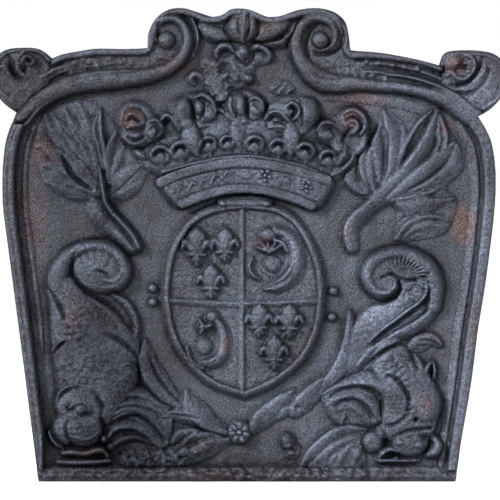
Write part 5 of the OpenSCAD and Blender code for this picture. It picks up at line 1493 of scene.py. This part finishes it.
# ---- Skin of the casting ----
# Bare grey iron, blackened by soot and painted shade in its hollows and creases and darker in broad
# patches, rubbed to a graphite sheen with painted highlights and reflections on what stands proud, and
# rusted brown in patches. Each point of the castings is given how much of each it has.
skin = Carving(-260, -4, 262, 476, grid=1)
skin.height[:] = -6
skin.fill(outline, 0)
for piece in finished:
    i = np.round((skin.x - piece.x0) / piece.grid).astype(int)
    j = np.round((skin.z - piece.z0) / piece.grid).astype(int)
    over = (i >= 0) & (j >= 0) & (i < piece.nx) & (j < piece.nz)
    over[over] = piece.mask[j[over], i[over]]
    skin.height[over] = np.maximum(skin.height[over], piece.final[j[over], i[over]] + piece.seat)
for spot, reach, rise in studs:
    skin.swell(spot, reach, rise)
ground = np.maximum(skin.height, 0)
inside = np.clip(soften((skin.height > -1) * 1.0, 2.5) * 2.6 - 1.5, 0, 1)
BLACK_HOLLOW, BLACK_GOUGE = 13, 2.3   # how deep a wide hollow and a narrow gouge are when fully blackened, by soot and by painted shade
# Painted shade: points lying below their surroundings are blackened, as soot settles there and as shade
# falls there.
hollows, gouges = soften(ground, 5) - ground, soften(ground, 1.8) - ground
soot_and_painted_shade = inside * (np.clip(hollows / BLACK_HOLLOW, 0, 1) + np.clip(gouges / BLACK_GOUGE, 0, 1))
# Crests are made lighter: wear on what stands proud, and a painted highlight.
worn_edges_and_highlight = np.clip((ground - soften(ground, 2.5)) / 2.2, 0, 1)


def patches(spots):
    """Soft oval patches: middle, half width, half height and strength of each."""
    return sum(strength * np.exp(-((skin.x - x) / wide) ** 2 - ((skin.z - z) / tall) ** 2)
               for (x, z), wide, tall, strength in spots)


rust = patches([
    ([-212, 261], 18, 90, 0.6), ([-202, 329], 18, 14, 0.6), ([-116, 362], 13, 11, 1.2),
    ([104, 362], 13, 10, 1), ([208, 415], 14, 12, 1), ([116, 383], 30, 13, 0.9),
    ([199, 353], 12, 12, 0.8), ([215, 256], 15, 19, 1.5), ([-1, 8], 190, 7, 0.5),
    ([226, 151], 8, 36, 0.8), ([186, 147], 12, 10, 0.8), ([-156, 28], 24, 9, 1),
    ([177, 79], 12, 14, 0.8), ([214, 35], 12, 9, 0.9), ([97, 250], 8, 12, 0.8), ([22, 305], 12, 6, 0.6),
    ([-153, 169], 40, 24, 0.25), ([-22, 136], 8, 14, 0.9), ([52, 29], 12, 12, 0.7),
    ([-48, 36], 30, 16, 0.5), ([-178, 171], 16, 60, 0.4), ([14, 239], 14, 10, 0.8),
    ([-68, 413], 60, 20, 0.5), ([12, 456], 30, 12, 0.6)])
# Patches of graphite polish that also serve as painted highlights and reflections on lit slopes, the jewels
# and the rosette.
polish_and_painted_sheen = patches([
    ([150, 176], 44, 30, 1), ([124, 116], 30, 30, 0.8), ([104, 211], 12, 20, 0.5),
    ([102, 249], 10, 16, 0.9), ([147, 311], 44, 50, 0.6), ([92, 126], 18, 30, 0.6),
    ([232, 241], 14, 60, 0.6), ([37, 81], 40, 24, 0.7), ([49, 236], 18, 40, 0.8),
    ([-20, 136], 14, 30, 0.6), ([77, 36], 26, 18, 0.9), ([2, 201], 60, 80, 0.35),
    ([-13, 341], 44, 50, 0.5), ([42, 366], 20, 22, 0.5), ([214, 91], 20, 90, 0.7),
    ([142, 389], 60, 30, 0.4), ([177, 41], 30, 40, 0.4), ([-148, 216], 34, 28, 0.3),
    ([-68, 76], 40, 24, 0.4), ([-163, 76], 26, 20, 0.2), ([227, 381], 24, 34, 0.7),
    ([130, 156], 20, 14, 0.6), ([134, 29], 22, 16, 0.6), ([17, 305], 9, 9, 1), ([58, 294], 8, 8, 1),
    ([-8, 49], 9, 9, 1)])
# Broad patches made darker, mostly on the left half of the plate.
darker_patches = patches([
    ([-188, 316], 36, 60, 0.42), ([-118, 91], 46, 60, 0.45), ([-173, 31], 60, 40, 0.35),
    ([-163, 171], 44, 60, 0.32), ([-88, 36], 50, 36, 0.36), ([97, 161], 14, 40, 0.3),
    ([-136, 265], 16, 26, 0.3), ([-228, 405], 26, 22, 0.35), ([2, 19], 70, 12, 0.3)])
# Red is soot and painted shade with the darker patches, green is wear and painted highlight, blue is rust.
shares = (soot_and_painted_shade + darker_patches, 0.22 * worn_edges_and_highlight + 0.55 * polish_and_painted_sheen, rust, np.ones(rust.shape))
layers = np.stack([np.clip(share, 0, 1) for share in shares], axis=-1)
BACK_SKIN = (0.15, 0.1, 0.45, 1)   # the back is duller, and rusted all over
FACE_SKIN = 3                      # the face's own skin reaches this far down the edge


def give_skin(piece):
    """Stores soot with painted shade, polish with painted highlight, and rust at each point of a casting,
    as red, green and blue.
    """
    co = np.zeros(len(piece.data.vertices) * 3, np.float32)
    piece.data.vertices.foreach_get("co", co)
    u = np.clip(co[0::3] / MM - skin.x0, 0, skin.nx - 1.01)
    v = np.clip(co[2::3] / MM - skin.z0, 0, skin.nz - 1.01)
    i, j = u.astype(int), v.astype(int)
    s, t = (u - i)[:, None], (v - j)[:, None]
    below = layers[j, i] * (1 - s) + layers[j, i + 1] * s
    above = layers[j + 1, i] * (1 - s) + layers[j + 1, i + 1] * s
    shade = below * (1 - t) + above * t
    shade[co[1::3] > (FIELD + FACE_SKIN) * MM] = BACK_SKIN
    stored = piece.data.attributes.new("skin", "FLOAT_COLOR", "POINT")
    stored.data.foreach_set("color", shade.astype(np.float32).ravel())


for piece in [o for o in bpy.data.objects if "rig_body" in o and "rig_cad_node" not in o]:
    give_skin(piece)

# ---- Floor and light ----
# The plate stands on a pale matt studio floor in a plain white room. One large soft lamp high on the
# left models the relief, and a weak one on the right keeps the shadows open.
floor_mesh = bpy.data.meshes.new("floor")
corners = [(x, y, 0) for x, y in ((-3, -3), (3, -3), (3, 3), (-3, 3))]
floor_mesh.from_pydata(corners, [], [(0, 1, 2, 3)])
floor = bpy.data.objects.new("floor", floor_mesh)
bpy.context.scene.collection.objects.link(floor)
FLOOR_GLOW = 1.62   # brings the floor to just under white where the camera sees it
ROOM_LIGHT = 0.25   # what the white room adds to the lamps
pale = bpy.data.materials.new("pale_studio_floor")
pale.use_nodes = True
tree = pale.node_tree
tree.nodes.clear()
matt = add(tree, "ShaderNodeBsdfDiffuse", {"Color": to_linear("#f4f4f4")})
glow = add(tree, "ShaderNodeEmission", {"Color": (1, 1, 1, 1), "Strength": FLOOR_GLOW})
path = add(tree, "ShaderNodeLightPath")
seen = add(tree, "ShaderNodeMath", {0: path.outputs["Is Camera Ray"], 1: 0.6}, operation="MULTIPLY")
mixed = add(tree, "ShaderNodeMixShader", {0: seen.outputs[0], 1: matt.outputs[0], 2: glow.outputs[0]})
add(tree, "ShaderNodeOutputMaterial", {"Surface": mixed.outputs[0]})
floor_mesh.materials.append(pale)

world = bpy.data.worlds.new("studio")
bpy.context.scene.world = world
world.use_nodes = True
tree = world.node_tree
tree.nodes.clear()
path = add(tree, "ShaderNodeLightPath")
seen = add(tree, "ShaderNodeMath", {0: path.outputs["Is Camera Ray"], 1: path.outputs["Is Glossy Ray"]},
           operation="MAXIMUM")
shown = add(tree, "ShaderNodeMath", {0: seen.outputs[0], 1: path.outputs["Is Transmission Ray"]},
            operation="MAXIMUM")
room = add(tree, "ShaderNodeBackground", {"Color": (1, 1, 1, 1), "Strength": ROOM_LIGHT})
white = add(tree, "ShaderNodeBackground", {"Color": (1, 1, 1, 1), "Strength": 1})
mixed = add(tree, "ShaderNodeMixShader", {0: shown.outputs[0], 1: room.outputs[0], 2: white.outputs[0]})
add(tree, "ShaderNodeOutputWorld", {"Surface": mixed.outputs[0]})


def soft_lamp(name, place, aim, size, watts):
    """A round area lamp that looks from its place at its aim."""
    lamp_data = bpy.data.lights.new(name, "AREA")
    lamp_data.shape, lamp_data.size, lamp_data.energy = "DISK", size, watts
    lamp = bpy.data.objects.new(name, lamp_data)
    lamp.location = place
    direction = np.array(aim, float) - np.array(place, float)
    lamp.rotation_euler = (math.acos(-direction[2] / np.linalg.norm(direction)), 0,
                           math.atan2(-direction[0], direction[1]))
    bpy.context.scene.collection.objects.link(lamp)


MIDDLE = (0, 0, 0.24)
soft_lamp("key_lamp", (-5.2, -4.2, 3.6), MIDDLE, 1.4, 880)
soft_lamp("fill_lamp", (3.4, -3.2, 1.4), MIDDLE, 1.6, 70)
bpy.context.scene.view_settings.view_transform = "Standard"
